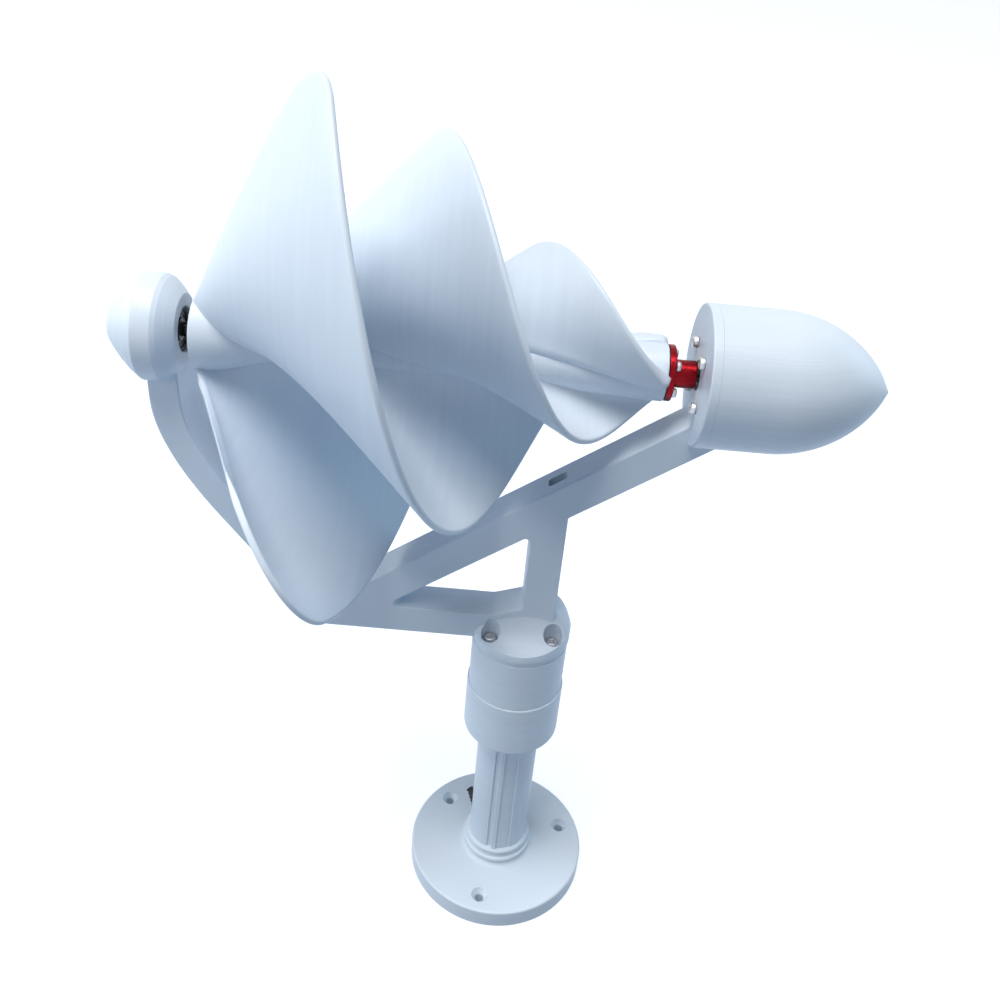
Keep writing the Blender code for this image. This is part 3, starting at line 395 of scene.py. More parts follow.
class Nodes:
    """Adds nodes to a material and links them, left to right."""

    def __init__(self, material):
        self.tree = material.node_tree
        self.shader = shader_of(material)

    def add(self, kind, **values):
        """A new node with its settings, or its sockets' values, given by name."""
        node = self.tree.nodes.new(kind)
        for name, value in values.items():
            if hasattr(node, name):
                setattr(node, name, value)
            else:
                node.inputs[name.replace("_", " ")].default_value = value
        return node

    def link(self, source, target):
        """Join an output to an input."""
        self.tree.links.new(source, target)

    def place(self, scale, turn=(0, 0, 0), shift=(0, 0, 0)):
        """Object coordinates, stretched and turned."""
        where = self.add("ShaderNodeTexCoord")
        mapping = self.add("ShaderNodeMapping")
        mapping.inputs["Scale"].default_value = scale
        mapping.inputs["Rotation"].default_value = turn
        mapping.inputs["Location"].default_value = shift
        self.link(where.outputs["Object"], mapping.inputs["Vector"])
        return mapping.outputs["Vector"]

    def noise(self, vector, scale=1.0, detail=3.0, roughness=0.5):
        """Fractal noise from 0 to 1."""
        node = self.add("ShaderNodeTexNoise", Scale=scale, Detail=detail, Roughness=roughness)
        self.link(vector, node.inputs["Vector"])
        return node.outputs["Fac"]

    def span(self, value, low, high, out_low, out_high):
        """A value carried from one range to another, clamped."""
        node = self.add("ShaderNodeMapRange")
        settings = (low, high, out_low, out_high)
        for name, number in zip(("From Min", "From Max", "To Min", "To Max"), settings):
            node.inputs[name].default_value = number
        self.link(value, node.inputs["Value"])
        return node.outputs["Result"]

    def maths(self, operation, first, second):
        """One sum of two values, each a number or an output."""
        node = self.add("ShaderNodeMath")
        node.operation = operation
        for socket, value in zip(node.inputs, (first, second)):
            if isinstance(value, (int, float)):
                socket.default_value = value
            else:
                self.link(value, socket)
        return node.outputs["Value"]

    def tint(self, amount, first, second):
        """A colour between two, by amount."""
        node = self.add("ShaderNodeMix")
        node.data_type = "RGBA"
        node.inputs[6].default_value = (*first, 1)
        node.inputs[7].default_value = (*second, 1)
        self.link(amount, node.inputs[0])
        return node.outputs[2]

    def bump(self, height, distance, strength=1.0, below=None):
        """Normals bent by a height, over those of another bump if there is one."""
        node = self.add("ShaderNodeBump")
        node.inputs["Strength"].default_value = strength
        node.inputs["Distance"].default_value = distance
        self.link(height, node.inputs["Height"])
        if below is not None:
            self.link(below, node.inputs["Normal"])
        return node.outputs["Normal"]


def printed_plastic(name, along, strength=1.0):
    """Layer-printed plastic: fine lines square to one axis, uneven from layer to layer.

    along is the axis that the layers were stacked on: 0 for X, 1 for Y or 2 for Z.
    """
    colour = tuple(bpy.context.scene.turbine_finish.plastic)
    layer = bpy.context.scene.turbine_finish.layer
    made = new_finish(name, colour, 0.42, specular=0.45)
    nodes = Nodes(made)
    thin = [9.0, 9.0, 9.0]
    thin[along] = 1.0 / layer
    lines = nodes.noise(nodes.place(thin), 1.0, 2.0, 0.55)
    broad = [14.0, 14.0, 14.0]
    broad[along] = 420.0
    bands = nodes.noise(nodes.place(broad, shift=(3.1, 1.7, 5.3)), 1.0, 2.0, 0.5)
    grain = nodes.noise(nodes.place((900, 900, 900)), 1.0, 3.0, 0.6)
    blotch = nodes.noise(nodes.place((26, 26, 26)), 1.0, 3.0, 0.55)
    darker = tuple(part * 0.965 for part in colour)
    lighter = tuple(min(part * 1.015, 1.0) for part in colour)
    mixed = nodes.maths("ADD", nodes.maths("MULTIPLY", bands, 0.6),
                        nodes.maths("MULTIPLY", blotch, 0.4))
    shade = nodes.tint(nodes.span(mixed, 0.35, 0.65, 0.0, 1.0), darker, lighter)
    nodes.link(shade, nodes.shader.inputs["Base Color"])
    gloss = nodes.span(nodes.maths("ADD", bands, grain), 0.7, 1.3, 0.34, 0.50)
    nodes.link(gloss, nodes.shader.inputs["Roughness"])
    soft = nodes.bump(grain, 0.00004, 0.35 * strength)
    wide = nodes.bump(bands, 0.00010, 0.25 * strength, soft)
    fine = nodes.bump(lines, 0.00010, 0.50 * strength, wide)
    nodes.link(fine, nodes.shader.inputs["Normal"])
    return made


def turned_metal(name, colour, roughness, axis, metallic=1.0):
    """Machined metal: fine rings square to the axis it was turned on, and a few faint marks."""
    made = new_finish(name, colour, roughness, metallic)
    nodes = Nodes(made)
    fine = [120.0, 120.0, 120.0]
    fine[axis] = 9000.0
    rings = nodes.noise(nodes.place(fine), 1.0, 2.0, 0.6)
    marks = nodes.noise(nodes.place((700, 700, 700)), 1.0, 4.0, 0.65)
    darker = tuple(part * 0.80 for part in colour)
    shade = nodes.tint(nodes.span(marks, 0.38, 0.62, 0.0, 1.0), darker, colour)
    nodes.link(shade, nodes.shader.inputs["Base Color"])
    gloss = nodes.span(nodes.maths("ADD", rings, marks), 0.75, 1.25, roughness * 0.75,
                       roughness * 1.35)
    nodes.link(gloss, nodes.shader.inputs["Roughness"])
    nodes.link(nodes.bump(rings, 0.00003, 0.5), nodes.shader.inputs["Normal"])
    return made


def moulded_rubber(name, colour, roughness=0.55):
    """Rubber or dark moulded plastic with a fine, slightly dusty skin."""
    made = new_finish(name, colour, roughness)
    nodes = Nodes(made)
    skin = nodes.noise(nodes.place((1500, 1500, 1500)), 1.0, 3.0, 0.6)
    dust = nodes.noise(nodes.place((160, 160, 160)), 1.0, 4.0, 0.6)
    greyer = tuple(part * 1.6 + 0.003 for part in colour)
    nodes.link(nodes.tint(nodes.span(dust, 0.45, 0.7, 0.0, 1.0), colour, greyer),
               nodes.shader.inputs["Base Color"])
    nodes.link(nodes.span(dust, 0.3, 0.7, roughness - 0.1, roughness + 0.1),
               nodes.shader.inputs["Roughness"])
    nodes.link(nodes.bump(skin, 0.00005, 0.5), nodes.shader.inputs["Normal"])
    return made


def finish_named(name):
    """A finish by name, made the first time that it is asked for."""
    if name in bpy.data.materials:
        return bpy.data.materials[name]
    colours = bpy.context.scene.turbine_finish
    steel = tuple(colours.steel)
    makers = {
        "plastic_upright": lambda: printed_plastic(name, 2),
        "plastic_frame": lambda: printed_plastic(name, 1, 0.7),
        "plastic_nacelle": lambda: printed_plastic(name, 2, 1.1),
        "plastic_knob": lambda: printed_plastic(name, 0, 1.2),
        "plastic_blade": lambda: printed_plastic(name, 0, 0.9),
        "anodised_red": lambda: turned_metal(name, tuple(colours.anodised), 0.24, 0, 0.85),
        "screw_steel": lambda: turned_metal(name, steel, 0.34, 0),
        "dark_steel": lambda: turned_metal(name, (0.045, 0.050, 0.056), 0.36, 0),
        "shaft_steel": lambda: turned_metal(name, steel, 0.20, 0),
        "spindle_steel": lambda: turned_metal(name, steel, 0.25, 2),
        "dark_shield": lambda: moulded_rubber(name, (0.022, 0.026, 0.030), 0.32),
        "boot_rubber": lambda: moulded_rubber(name, tuple(colours.rubber)),
    }
    return makers[name]()


# ---------------------------------------------------------------- flange, post and boot
def flange_shell():
    """Flange with its flared and beaded collar, turned from one softened profile."""
    stand = bpy.context.scene.turbine_stand
    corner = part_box("base_flange")[1]
    radius, top = corner.x, corner.z
    post_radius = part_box("post")[1].x
    deck = FLANGE_DECK
    bead = stand.collar_bead
    wall = post_radius + 0.0022
    angle = np.radians(np.linspace(90, -70, 9))
    upper = np.stack([wall - bead + bead * np.cos(angle),
                      top - bead + bead * np.sin(angle)], 1)
    angle = np.radians(np.linspace(80, -80, 11))
    lower = np.stack([wall - bead + 0.0011 + bead * np.cos(angle),
                      top - 0.0068 + bead * np.sin(angle)], 1)
    flare = 0.0034
    angle = np.radians(np.linspace(180, 270, 10))
    foot = np.stack([wall + 0.0002 + flare + flare * np.cos(angle),
                     deck + flare + flare * np.sin(angle)], 1)
    rim = soften([(radius - 0.006, deck), (radius, deck), (radius, 0.0), (radius - 0.006, 0.0)],
                 (0, stand.flange_edge, 0.0006, 0), 6)
    inner = [(wall - bead - 0.0004, top)]
    profile = np.vstack([[(0.0, 0.0)], [(0.004, 0.0)], rim[::-1], foot[::-1], lower[::-1],
                         upper[::-1], inner, [(0.006, top - 0.0003)], [(0.0, top - 0.0003)]])
    return turned(profile, Z_AXIS, segments=256)


def countersink(name, x, y):
    """A screw hole as a solid to cut with: a bore that widens in two cones to the deck."""
    bore, mouth, past = 0.0024, 0.0045, 0.0020
    top = FLANGE_DECK + past
    profile = [(0, -past), (bore, -past), (bore, FLANGE_DECK - 0.0030),
               (mouth, FLANGE_DECK - 0.0002), (0.0056, top), (0, top)]
    return mesh_object(name, [turned(profile, Z_AXIS, (x, y, 0), 48)])


class OBJECT_OT_turbine_flange(bpy.types.Operator):
    """Build the foot flange with its collar and three countersunk holes"""
    bl_idname = "object.turbine_flange"
    bl_label = "Foot flange"

    def execute(self, context):
        stand = context.scene.turbine_stand
        flange = mesh_object("foot_flange", [flange_shell()])
        holes = []
        for index in range(3):
            angle = stand.hole_turn + 2 * math.pi * index / 3
            holes.append(countersink(f"hole_{index}", stand.hole_circle * math.cos(angle),
                                     stand.hole_circle * math.sin(angle)))
        solid_change(flange, holes, "DIFFERENCE")
        reshade(flange, 30)
        finish_piece(flange, finish_named("plastic_upright"), "base", "base_plastic",
                     "base_flange")
        return {"FINISHED"}


def band(angle, middle, half_width, edge):
    """1 within half_width of middle, falling smoothly to 0 over edge; all angles in radians."""
    off = np.abs((angle - middle + math.pi) % (2 * math.pi) - math.pi)
    return 1 - ramp(off, half_width - edge / 2, half_width + edge / 2)


class OBJECT_OT_turbine_post(bpy.types.Operator):
    """Build the hollow post with its groove, its rib and the flat beside them"""
    bl_idname = "object.turbine_post"
    bl_label = "Post"

    def execute(self, context):
        stand = context.scene.turbine_stand
        low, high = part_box("post")
        radius = -low.x

        def shape(base, height, angle):
            """Radius less a groove, plus a rib, less a shallow flat, each a band of angles."""
            groove = band(angle, stand.groove_turn, stand.groove_width / 2 / radius, 0.02)
            rib = band(angle, stand.rib_turn, stand.rib_width / 2 / radius, 0.03)
            flat = band(angle, stand.flat_turn, stand.flat_width / 2, 0.02)
            change = (rib * stand.rib_height - groove * stand.groove_depth
                      - flat * stand.flat_depth)
            on_outer_wall = base > radius - 0.0012
            return base + change * on_outer_wall

        rows = np.linspace(low.z + 0.001, high.z - 0.001, 24)
        outer = [(radius, height) for height in rows]
        profile = np.vstack([[(0.0102, low.z)], [(radius - 0.0008, low.z)], outer,
                             [(radius - 0.0008, high.z)], [(0.0102, high.z)]])
        post = mesh_object("post_column", [turned(profile, Z_AXIS, segments=720, shape=shape)], 28)
        finish_piece(post, finish_named("plastic_upright"), "base", "base_plastic", "post")
        return {"FINISHED"}


class OBJECT_OT_turbine_boot(bpy.types.Operator):
    """Build the ribbed rubber boot where the cable leaves the post"""
    bl_idname = "object.turbine_boot"
    bl_label = "Cable boot"

    def execute(self, context):
        low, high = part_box("cable_outlet")
        turn = math.radians(127.0)
        height = (low.z + high.z) / 2
        start = 0.0190
        tip = 0.0317
        rings = []
        for index in range(4):
            along = start + 0.0030 + index * 0.0021
            size = 0.0036 - index * 0.0004
            rings += [(size, along), (size - 0.0001, along + 0.0010),
                      (size - 0.0006, along + 0.0012), (size - 0.0006, along + 0.0019)]
        profile = [(0.0028, start - 0.006), (0.0041, start - 0.0002), (0.0041, start + 0.0022)]
        profile += rings + [(0.0023, tip - 0.0005), (0.0019, tip), (0.0015, tip),
                            (0.0015, start - 0.006)]
        boot = mesh_object("cable_boot", [turned(profile, X_AXIS, (0, 0, 0), 48)], 40)
        root = Vector((start, 0, 0))
        tip_up = (Matrix.Translation(root) @ Matrix.Rotation(math.radians(-24), 4, "Y")
                  @ Matrix.Translation(-root))
        matrix = Matrix.Translation((0, 0, height)) @ Matrix.Rotation(turn, 4, "Z") @ tip_up
        boot.data.transform(matrix)
        finish_piece(boot, finish_named("boot_rubber"), "base", "black_rubber", "cable_outlet")
        return {"FINISHED"}


# ---------------------------------------------------------------- housing
class OBJECT_OT_turbine_housing(bpy.types.Operator):
    """Build the bearing housing: a cup, a sleeve and a thin ring under the frame's cap"""
    bl_idname = "object.turbine_housing"
    bl_label = "Bearing housing"

    def execute(self, context):
        bore = 0.0142
        cup_low, cup_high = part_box("housing_cup")
        radius = cup_high.x
        cup = soften([(bore, cup_low.z), (radius, cup_low.z), (radius, cup_high.z),
                      (bore, cup_high.z)], (0, 0.0016, 0.0005, 0), 6)
        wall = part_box("housing_sleeve")[1].x - 0.0002
        foot = cup_high.z + SEAM
        ring_low, ring_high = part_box("bearing_retainer")
        top = ring_low.z - SEAM
        sleeve = soften([(bore, foot), (wall, foot), (wall, top), (bore, top)],
                        (0, 0.0001, 0.0004, 0), 4)
        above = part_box("frame_cap")[0].z - SEAM
        ring = soften([(bore, ring_low.z), (ring_high.x, ring_low.z), (ring_high.x, above),
                       (bore, above)], (0, 0.0004, 0.0004, 0), 4)
        for name, profile, node in (("housing_cup_turned", cup, "housing_cup"),
                                    ("housing_sleeve_turned", sleeve, "housing_sleeve"),
                                    ("housing_ring_turned", ring, "bearing_retainer")):
            piece = mesh_object(name, [turned(profile, Z_AXIS, segments=192)])
            finish_piece(piece, finish_named("plastic_upright"), "yaw_head", "head_plastic", node)
        repaint(finish_named("spindle_steel"), "yaw_spindle", "spindle_nut",
                "lower_bearing_inner_race", "lower_bearing_outer_race",
                "upper_bearing_inner_race", "upper_bearing_outer_race")
        return {"FINISHED"}


# ---------------------------------------------------------------- frame
def arm_edges(frame_sizes, arm_top):
    """The tail arm's two edges, offset from a line that bends once between two straights."""
    half = frame_sizes.arm_width / 2
    top = np.array([-0.1656, AXIS_HEIGHT - 0.0120])
    corner = np.array([top[0], AXIS_HEIGHT - 0.0520])
    heel = np.array([-0.1050, arm_top + 0.0020])
    bend_start = np.array([top[0], AXIS_HEIGHT - 0.0300])
    bend_end = corner + (heel - corner) * 0.42
    part = np.linspace(0, 1, 24)[:, None]
    bend = bend_start * (1 - part) ** 2 + corner * 2 * part * (1 - part) + bend_end * part ** 2
    path = np.vstack([top[None], bend, heel[None]])
    along = np.gradient(path, axis=0)
    along /= np.linalg.norm(along, axis=1)[:, None]
    inward = np.stack([-along[:, 1], along[:, 0]], 1)
    return path - inward * half, path + inward * half


def frame_outlines():
    """The frame's outer outline and the triangle inside it, as (x, z) with softened corners."""
    sizes = bpy.context.scene.turbine_frame
    slope = sizes.beam_slope
    arm_low, arm_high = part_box("frame_lower_arm")
    strut_low, strut_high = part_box("frame_strut")
    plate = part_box("nacelle_plate")[0].x
    arm_top = arm_high.z

    def top(x):
        """The beam's top edge: a straight line."""
        return BEAM_HEIGHT + slope * x

    def under(x):
        """The beam's lower edge: its top edge less its depth."""
        return top(x) - sizes.beam_depth

    outer, inner = arm_edges(sizes, arm_top)
    end = plate + 0.0150
    crotch = (arm_top + 0.0003 - BEAM_HEIGHT) / slope
    start = [(end, under(end)), (end, under(end) + 0.006), (plate + 0.0022, AXIS_HEIGHT - 0.0155),
             (plate - 0.0001, AXIS_HEIGHT - 0.0155), (plate - 0.0001, top(plate)),
             (crotch, arm_top + 0.0003)]
    start_round = [0, 0, 0, 0, 0.0050, 0.0060]
    arm_up = inner[::-1][1:]
    arm_down = outer[:-1]
    heel = outer[-1]
    direction = outer[-1] - outer[-2]
    drop = (arm_low.z - heel[1]) / direction[1]
    foot = [tuple(heel + direction * drop), (0.0, arm_low.z), (strut_high.x, arm_low.z + 0.003),
            (strut_high.x, under(strut_high.x))]
    foot_round = [0.0080, 0, 0, 0.0012]
    points = np.vstack([start, arm_up, arm_down, foot])
    rounds = start_round + [0] * (len(arm_up) + len(arm_down)) + foot_round
    outside = soften(points, rounds, 8, closed=True)
    left = (arm_top - BEAM_HEIGHT + sizes.beam_depth) / slope
    triangle = soften([(left, arm_top), (-0.0150, arm_top), (strut_low.x, arm_top + 0.0050),
                       (strut_low.x, under(strut_low.x))],
                      (0.0022, 0.0060, 0.0012, 0.0020), 8, closed=True)
    return outside, triangle


def inset(outline, amount):
    """Move an outline's points along its inward normals; an outline round a hole grows."""
    before = outline - np.roll(outline, 1, 0)
    after = np.roll(outline, -1, 0) - outline
    before /= np.maximum(np.linalg.norm(before, axis=1), 1e-12)[:, None]
    after /= np.maximum(np.linalg.norm(after, axis=1), 1e-12)[:, None]
    middle = before + after
    middle /= np.linalg.norm(middle, axis=1)[:, None]
    normal = np.stack([-middle[:, 1], middle[:, 0]], 1)
    stretch = np.clip(np.einsum("ij,ij->i", before, middle), 0.5, 1)
    return outline + normal * (amount / stretch)[:, None]


def clockwise(outline):
    """Whether an outline runs clockwise: its signed area, by the shoelace sum, is negative."""
    x, z = outline.T
    return np.sum(x * np.roll(z, -1) - z * np.roll(x, -1)) < 0


def clean_outline(outline, least=0.00002):
    """Drop points that lie on the one before them."""
    gap = np.linalg.norm(outline - np.roll(outline, 1, 0), axis=1)
    return outline[gap > least]


def plate_object(name, outside, hole, width, edge, deepen):
    """An outline with one hole, given a width front to back, with its edges rounded.

    Each outline is carried round a half profile: in by edge * (1 - sin) as it nears a face.  The
    two faces are filled with triangles between the outline and the hole.  deepen(x, z) scales
    the width behind the middle.
    """
    angles = np.radians(np.linspace(0, 90, 5))
    offsets = edge * (1 - np.sin(angles))
    depths = -width / 2 + edge * (1 - np.cos(angles))
    offsets = np.concatenate([offsets, [0.0, 0.0], offsets[::-1]])
    depths = np.concatenate([depths, [depths[-1] + 0.0001, -depths[-1] - 0.0001], -depths[::-1]])
    points, faces, near, far, total = [], [], [], [], 0
    for outline, outer in ((outside, True), (hole, False)):
        outline = clean_outline(outline)
        if clockwise(outline) == outer:
            outline = outline[::-1]
        rows, count = len(depths), len(outline)
        flat = np.stack([inset(outline, offset) for offset in offsets])
        depth = np.repeat(depths[:, None], count, 1)
        points.append(np.stack([flat[:, :, 0], depth, flat[:, :, 1]], 2).reshape(-1, 3))
        faces.append(grid_faces(rows, count, False, True) + total)
        near.append(total + np.arange(count))
        far.append(total + (rows - 1) * count + np.arange(count))
        total += rows * count
    points = np.vstack(points)
    behind = points[:, 1] > 0
    points[:, 1] *= np.where(behind, deepen(points[:, 0], points[:, 2]), 1)
    rims = [points[ring][:, [0, 2]] for ring in near]
    near, far = np.concatenate(near), np.concatenate(far)
    fill = np.array(tessellate_polygon([np.insert(rim, 2, 0, 1).tolist() for rim in rims]))
    a, b, c = np.concatenate(rims)[fill].transpose(1, 0, 2)
    first, second = (b - a).T, (c - a).T
    backwards = first[0] * second[1] - first[1] * second[0] < 0
    fill[backwards] = fill[backwards][:, ::-1]
    wall = np.vstack(faces)
    return mesh_object(name, [outward(points, [wall, near[fill], far[fill][:, ::-1]])])


def cap_height(x, y):
    """Height of the cap's top: the lower of a dome and a scoop, the same front and back.

    The dome is rim + rise * root(1 - (r / radius)^2), its rise growing from left to right.  The
    scoop is a hollow quarter-round that climbs from the rim to the bars, lower to its sides.
    """
    sizes = bpy.context.scene.turbine_frame
    low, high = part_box("frame_cap")
    radius = high.x
    rim = low.z + 0.0043
    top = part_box("frame_lower_arm")[1].z
    away = np.sqrt(x * x + y * y)
    rise = sizes.dome_left + (sizes.dome_right - sizes.dome_left) * ramp(x, -0.006, 0.008)
    dome = rim + rise * np.clip(1 - (away / radius) ** 2, 0, 1) ** 0.55
    front = np.abs(y)
    hollow = 0.0244
    level = np.clip(radius + 0.0064 - front, 0, hollow)
    scoop = top + 0.0111 - np.sqrt(hollow ** 2 - level ** 2)
    spread = np.clip((radius - front) / 0.0156, 0, 1)
    scoop = scoop - 0.0025 * ((x - 0.003) / 0.013) ** 2 * spread
    scoop = np.maximum(scoop, rim)
    gap = scoop - dome
    blend = 0.0006
    return np.where(np.abs(gap) < blend, (scoop + dome) / 2 - (blend + gap * gap / blend) / 4,
                    np.minimum(scoop, dome))


def cap_object():
    """The round cap: a polar grid whose top follows cap_height, and a softened rim below."""
    low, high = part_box("frame_cap")
    radius = high.x
    segments = 288
    angle = np.linspace(0, 2 * math.pi, segments, endpoint=False)
    reach = radius * (1 - (1 - np.linspace(0.02, 1, 72)) ** 1.3)
    reach[-1] = radius - 0.00035
    across, up = reach[:, None] * np.cos(angle), reach[:, None] * np.sin(angle)
    surface = np.stack([across, up, cap_height(across, up)], 2)
    rim_top = surface[-1, :, 2]
    sides = []
    bottom = low.z
    for size, drop in ((radius - 0.0001, 0.00012), (radius, 0.0004)):
        sides.append(np.stack([size * np.cos(angle), size * np.sin(angle), rim_top - drop], 1))
    for size, height in ((radius, bottom + 0.0010), (radius, bottom + 0.0004),
                         (radius - 0.0004, bottom), (0.012, bottom)):
        sides.append(np.stack([size * np.cos(angle), size * np.sin(angle),
                               np.full(segments, height)], 1))
    grid = np.concatenate([surface, np.array(sides)], 0)
    middle = np.array([0, 0, float(cap_height(np.array(0.0), np.array(0.0)))])
    shell = loop_shell(grid, start=middle, end=np.array([0, 0, bottom]))
    return mesh_object("cap", [shell])


class OBJECT_OT_turbine_frame(bpy.types.Operator):
    """Build the one-piece frame: cap, strut, beam, lower arm and tail arm"""
    bl_idname = "object.turbine_frame"
    bl_label = "Frame"

    def execute(self, context):
        sizes = context.scene.turbine_frame
        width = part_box("frame_strut")[1].y * 2
        outside, triangle = frame_outlines()

        def deepen(x, z):
            """1 along the bars, growing smoothly up the tail arm to a deeper root at the knob."""
            up = ramp(z, AXIS_HEIGHT - 0.1250, AXIS_HEIGHT - 0.0700) * ramp(-x, 0.105, 0.135)
            return 1 + (sizes.arm_root - 1) * up

        bars = plate_object("turbine_frame_body", outside, triangle, width, sizes.edge_round,
                            deepen)
        solid_change(bars, [cap_object()], "UNION")
        cuts = []
        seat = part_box("cap_screw_1")[0].z + 0.0240 - 0.0003
        for index in range(4):
            low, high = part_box(f"cap_screw_{index + 1}")
            x, y = (low.x + high.x) / 2, (low.y + high.y) / 2
            lean = Matrix.Rotation(math.copysign(sizes.pocket_lean, -y), 4, "X")
            matrix = Matrix.Translation((x, y, seat)) @ lean
            well = soften([(0, 0), (0.0036, 0), (0.0036, 0.0060), (0, 0.0060)],
                          (0, 0.0004, 0, 0), 4)
            mouth = soften([(0, 0.0012), (0.0036, 0.0012), (sizes.pocket_mouth, 0.0060),
                            (sizes.pocket_mouth, 0.0135), (0, 0.0135)],
                           (0, 0.0006, 0.002, 0.003, 0), 6)
            cuts.append(mesh_object(f"well_{index}", [turned(well, Z_AXIS, (x, y, seat), 64)]))
            cuts.append(mesh_object(f"mouth_{index}", [moved(turned(mouth, Z_AXIS), matrix)]))
        slot_low, slot_high = 0.0049, 0.0129
        middle = (slot_low + slot_high) / 2
        floor = BEAM_HEIGHT + sizes.beam_slope * middle - 0.0120
        corners = soften([(slot_low, -0.0030), (slot_high, -0.0030), (slot_high, 0.0030),
                          (slot_low, 0.0030)], 0.0012, 5, closed=True)
        level = np.array([floor, floor + 0.0300])
        sides = np.concatenate([np.repeat(corners[None], 2, 0),
                                np.repeat(level[:, None, None], len(corners), 1)], 2)
        slot = mesh_object("slot", [loop_shell(sides, start=(middle, 0, level[0]),
                                               end=(middle, 0, level[1]))])
        solid_change(bars, cuts + [slot], "DIFFERENCE")
        reshade(bars, 32, flat_axis=1)
        finish_piece(bars, finish_named("plastic_frame"), "yaw_head", "head_plastic", "frame_cap",
                     "frame_strut", "frame_beam", "frame_lower_arm", "frame_tail_arm")
        return {"FINISHED"}


# ---------------------------------------------------------------- nacelle and knob
def arch_radius(x, base, length):
    """Radius of a pointed arch nose at a distance from where it starts to draw in."""
    arch = (base * base + length * length) / (2 * base)
    return np.sqrt(np.maximum(arch * arch - x * x, 0)) - (arch - base)


class OBJECT_OT_turbine_nacelle(bpy.types.Operator):
    """Build the nacelle: a front plate and a bullet-shaped shell"""
    bl_idname = "object.turbine_nacelle"
    bl_label = "Nacelle"

    def execute(self, context):
        plate_low, plate_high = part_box("nacelle_plate")
        radius = plate_high.y
        face = plate_low.x
        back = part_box("nacelle_shell")[0].x - 0.0002
        bore = 0.0066
        plate = soften([(bore, face), (radius, face), (radius, back), (bore, back)],
                       (0, 0.0008, 0.00006, 0), 5, support=0.00002)
        piece = mesh_object("nacelle_front", [turned(plate, X_AXIS, (0, 0, AXIS_HEIGHT), 192)])
        finish_piece(piece, finish_named("plastic_nacelle"), "yaw_head", "head_plastic",
                     "nacelle_plate")
        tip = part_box("nacelle_shell")[1].x
        length = 0.0500
        nose = tip - length
        part = np.sin(np.radians(np.linspace(0, 90, 48)))
        outer_x = nose + part * length
        outer_r = arch_radius(part * length, radius, length)
        keep = outer_r > 0.0016
        end = soften([(outer_r[keep][-1], outer_x[keep][-1]), (0.0006, tip - 0.0001), (0, tip)],
                     (0, 0.0006, 0), 4)
        straight = soften([(radius - 0.003, back + 0.00005), (radius, back + 0.00005),
                           (radius, nose - 0.002)], (0, 0.00006, 0), 4, support=0.00002)
        inner_r = outer_r[keep][::-1] * 0.90
        inner_x = nose + (outer_x[keep][::-1] - nose) * 0.90
        profile = np.vstack([straight, np.stack([outer_r[keep], outer_x[keep]], 1), end[1:]])
        inside = np.vstack([[(0, inner_x[0])], np.stack([inner_r[1:], inner_x[1:]], 1),
                            [(radius * 0.90, back + 0.00005)]])
        whole = np.vstack([inside, profile])
        shell = turned(whole, X_AXIS, (0, 0, AXIS_HEIGHT), 224)
        piece = mesh_object("nacelle_bullet", [shell])
        finish_piece(piece, finish_named("plastic_nacelle"), "yaw_head", "head_plastic",
                     "nacelle_shell")
        repaint(finish_named("shaft_steel"), "generator_case", "generator_terminal_1",
                "generator_terminal_2")
        repaint(finish_named("dark_shield"), "generator_bell")
        return {"FINISHED"}


class OBJECT_OT_turbine_knob(bpy.types.Operator):
    """Build the tail knob and the ball bearing set in its face"""
    bl_idname = "object.turbine_knob"
    bl_label = "Tail knob"

    def execute(self, context):
        low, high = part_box("tail_knob")
        race_low, race_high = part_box("tail_bearing_outer_race")
        seat = race_high.y + 0.0002
        end, face = low.x, high.x
        outline = [(0, end), (0.0080, end), (0.0117, end + 0.0027), (0.0162, end + 0.0067),
                   (0.0203, end + 0.0111), (0.0230, end + 0.0148), (0.0229, end + 0.0228),
                   (0.0218, end + 0.0248), (0.0190, end + 0.0275), (0.0152, face),
                   (seat, face), (seat, race_low.x - 0.0004), (0.0046, race_low.x - 0.0004),
                   (0.0046, race_low.x - 0.0040), (0, race_low.x - 0.0040)]
        rounds = (0, 0.0016, 0.0012, 0.0012, 0.0012, 0.0012, 0.0010, 0.0008, 0.0008, 0.0006,
                  0.0003, 0, 0, 0, 0)
        knob = mesh_object("tail_knob_turned",
                           [turned(soften(outline, rounds, 4), X_AXIS, (0, 0, AXIS_HEIGHT), 160)])
        finish_piece(knob, finish_named("plastic_knob"), "yaw_head", "head_plastic", "tail_knob")
        inner_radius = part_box("tail_bearing_inner_race")[1].y
        left, right = race_low.x, race_high.x
        rings = (("bearing_outer", race_high.y, race_high.y - 0.0016, left, right, "dark_steel",
                  "yaw_head", "bearing_steel", "tail_bearing_outer_race"),
                 ("bearing_shield", race_high.y - 0.0018, inner_radius + 0.0003, left + 0.0006,
                  right - 0.0006, "dark_shield", "yaw_head", "bearing_shield",
                  "tail_bearing_shield"),
                 ("bearing_inner", inner_radius, 0.00315, left, right, "dark_steel", "rotor",
                  "bearing_steel", "tail_bearing_inner_race"))
        for name, outer, bore, start, stop, finish, body, slot, node in rings:
            step = 0.00025
            if name == "bearing_shield":
                middle = (outer + bore) / 2
                ring = [(bore, start), (outer, start), (outer, stop), (outer - 0.0008, stop),
                        (outer - 0.0010, stop - step), (middle + 0.0004, stop - step),
                        (middle + 0.0002, stop - step * 2), (middle - 0.0004, stop - step * 2),
                        (middle - 0.0006, stop - step), (bore, stop - step)]
                profile = np.array(ring)
            else:
                profile = soften([(bore, start), (outer, start), (outer, stop), (bore, stop)],
                                 step, 3, closed=True)
            piece = mesh_object(name, [turned(profile, X_AXIS, (0, 0, AXIS_HEIGHT), 96)])
            finish_piece(piece, finish_named(finish), body, slot, node)
        return {"FINISHED"}


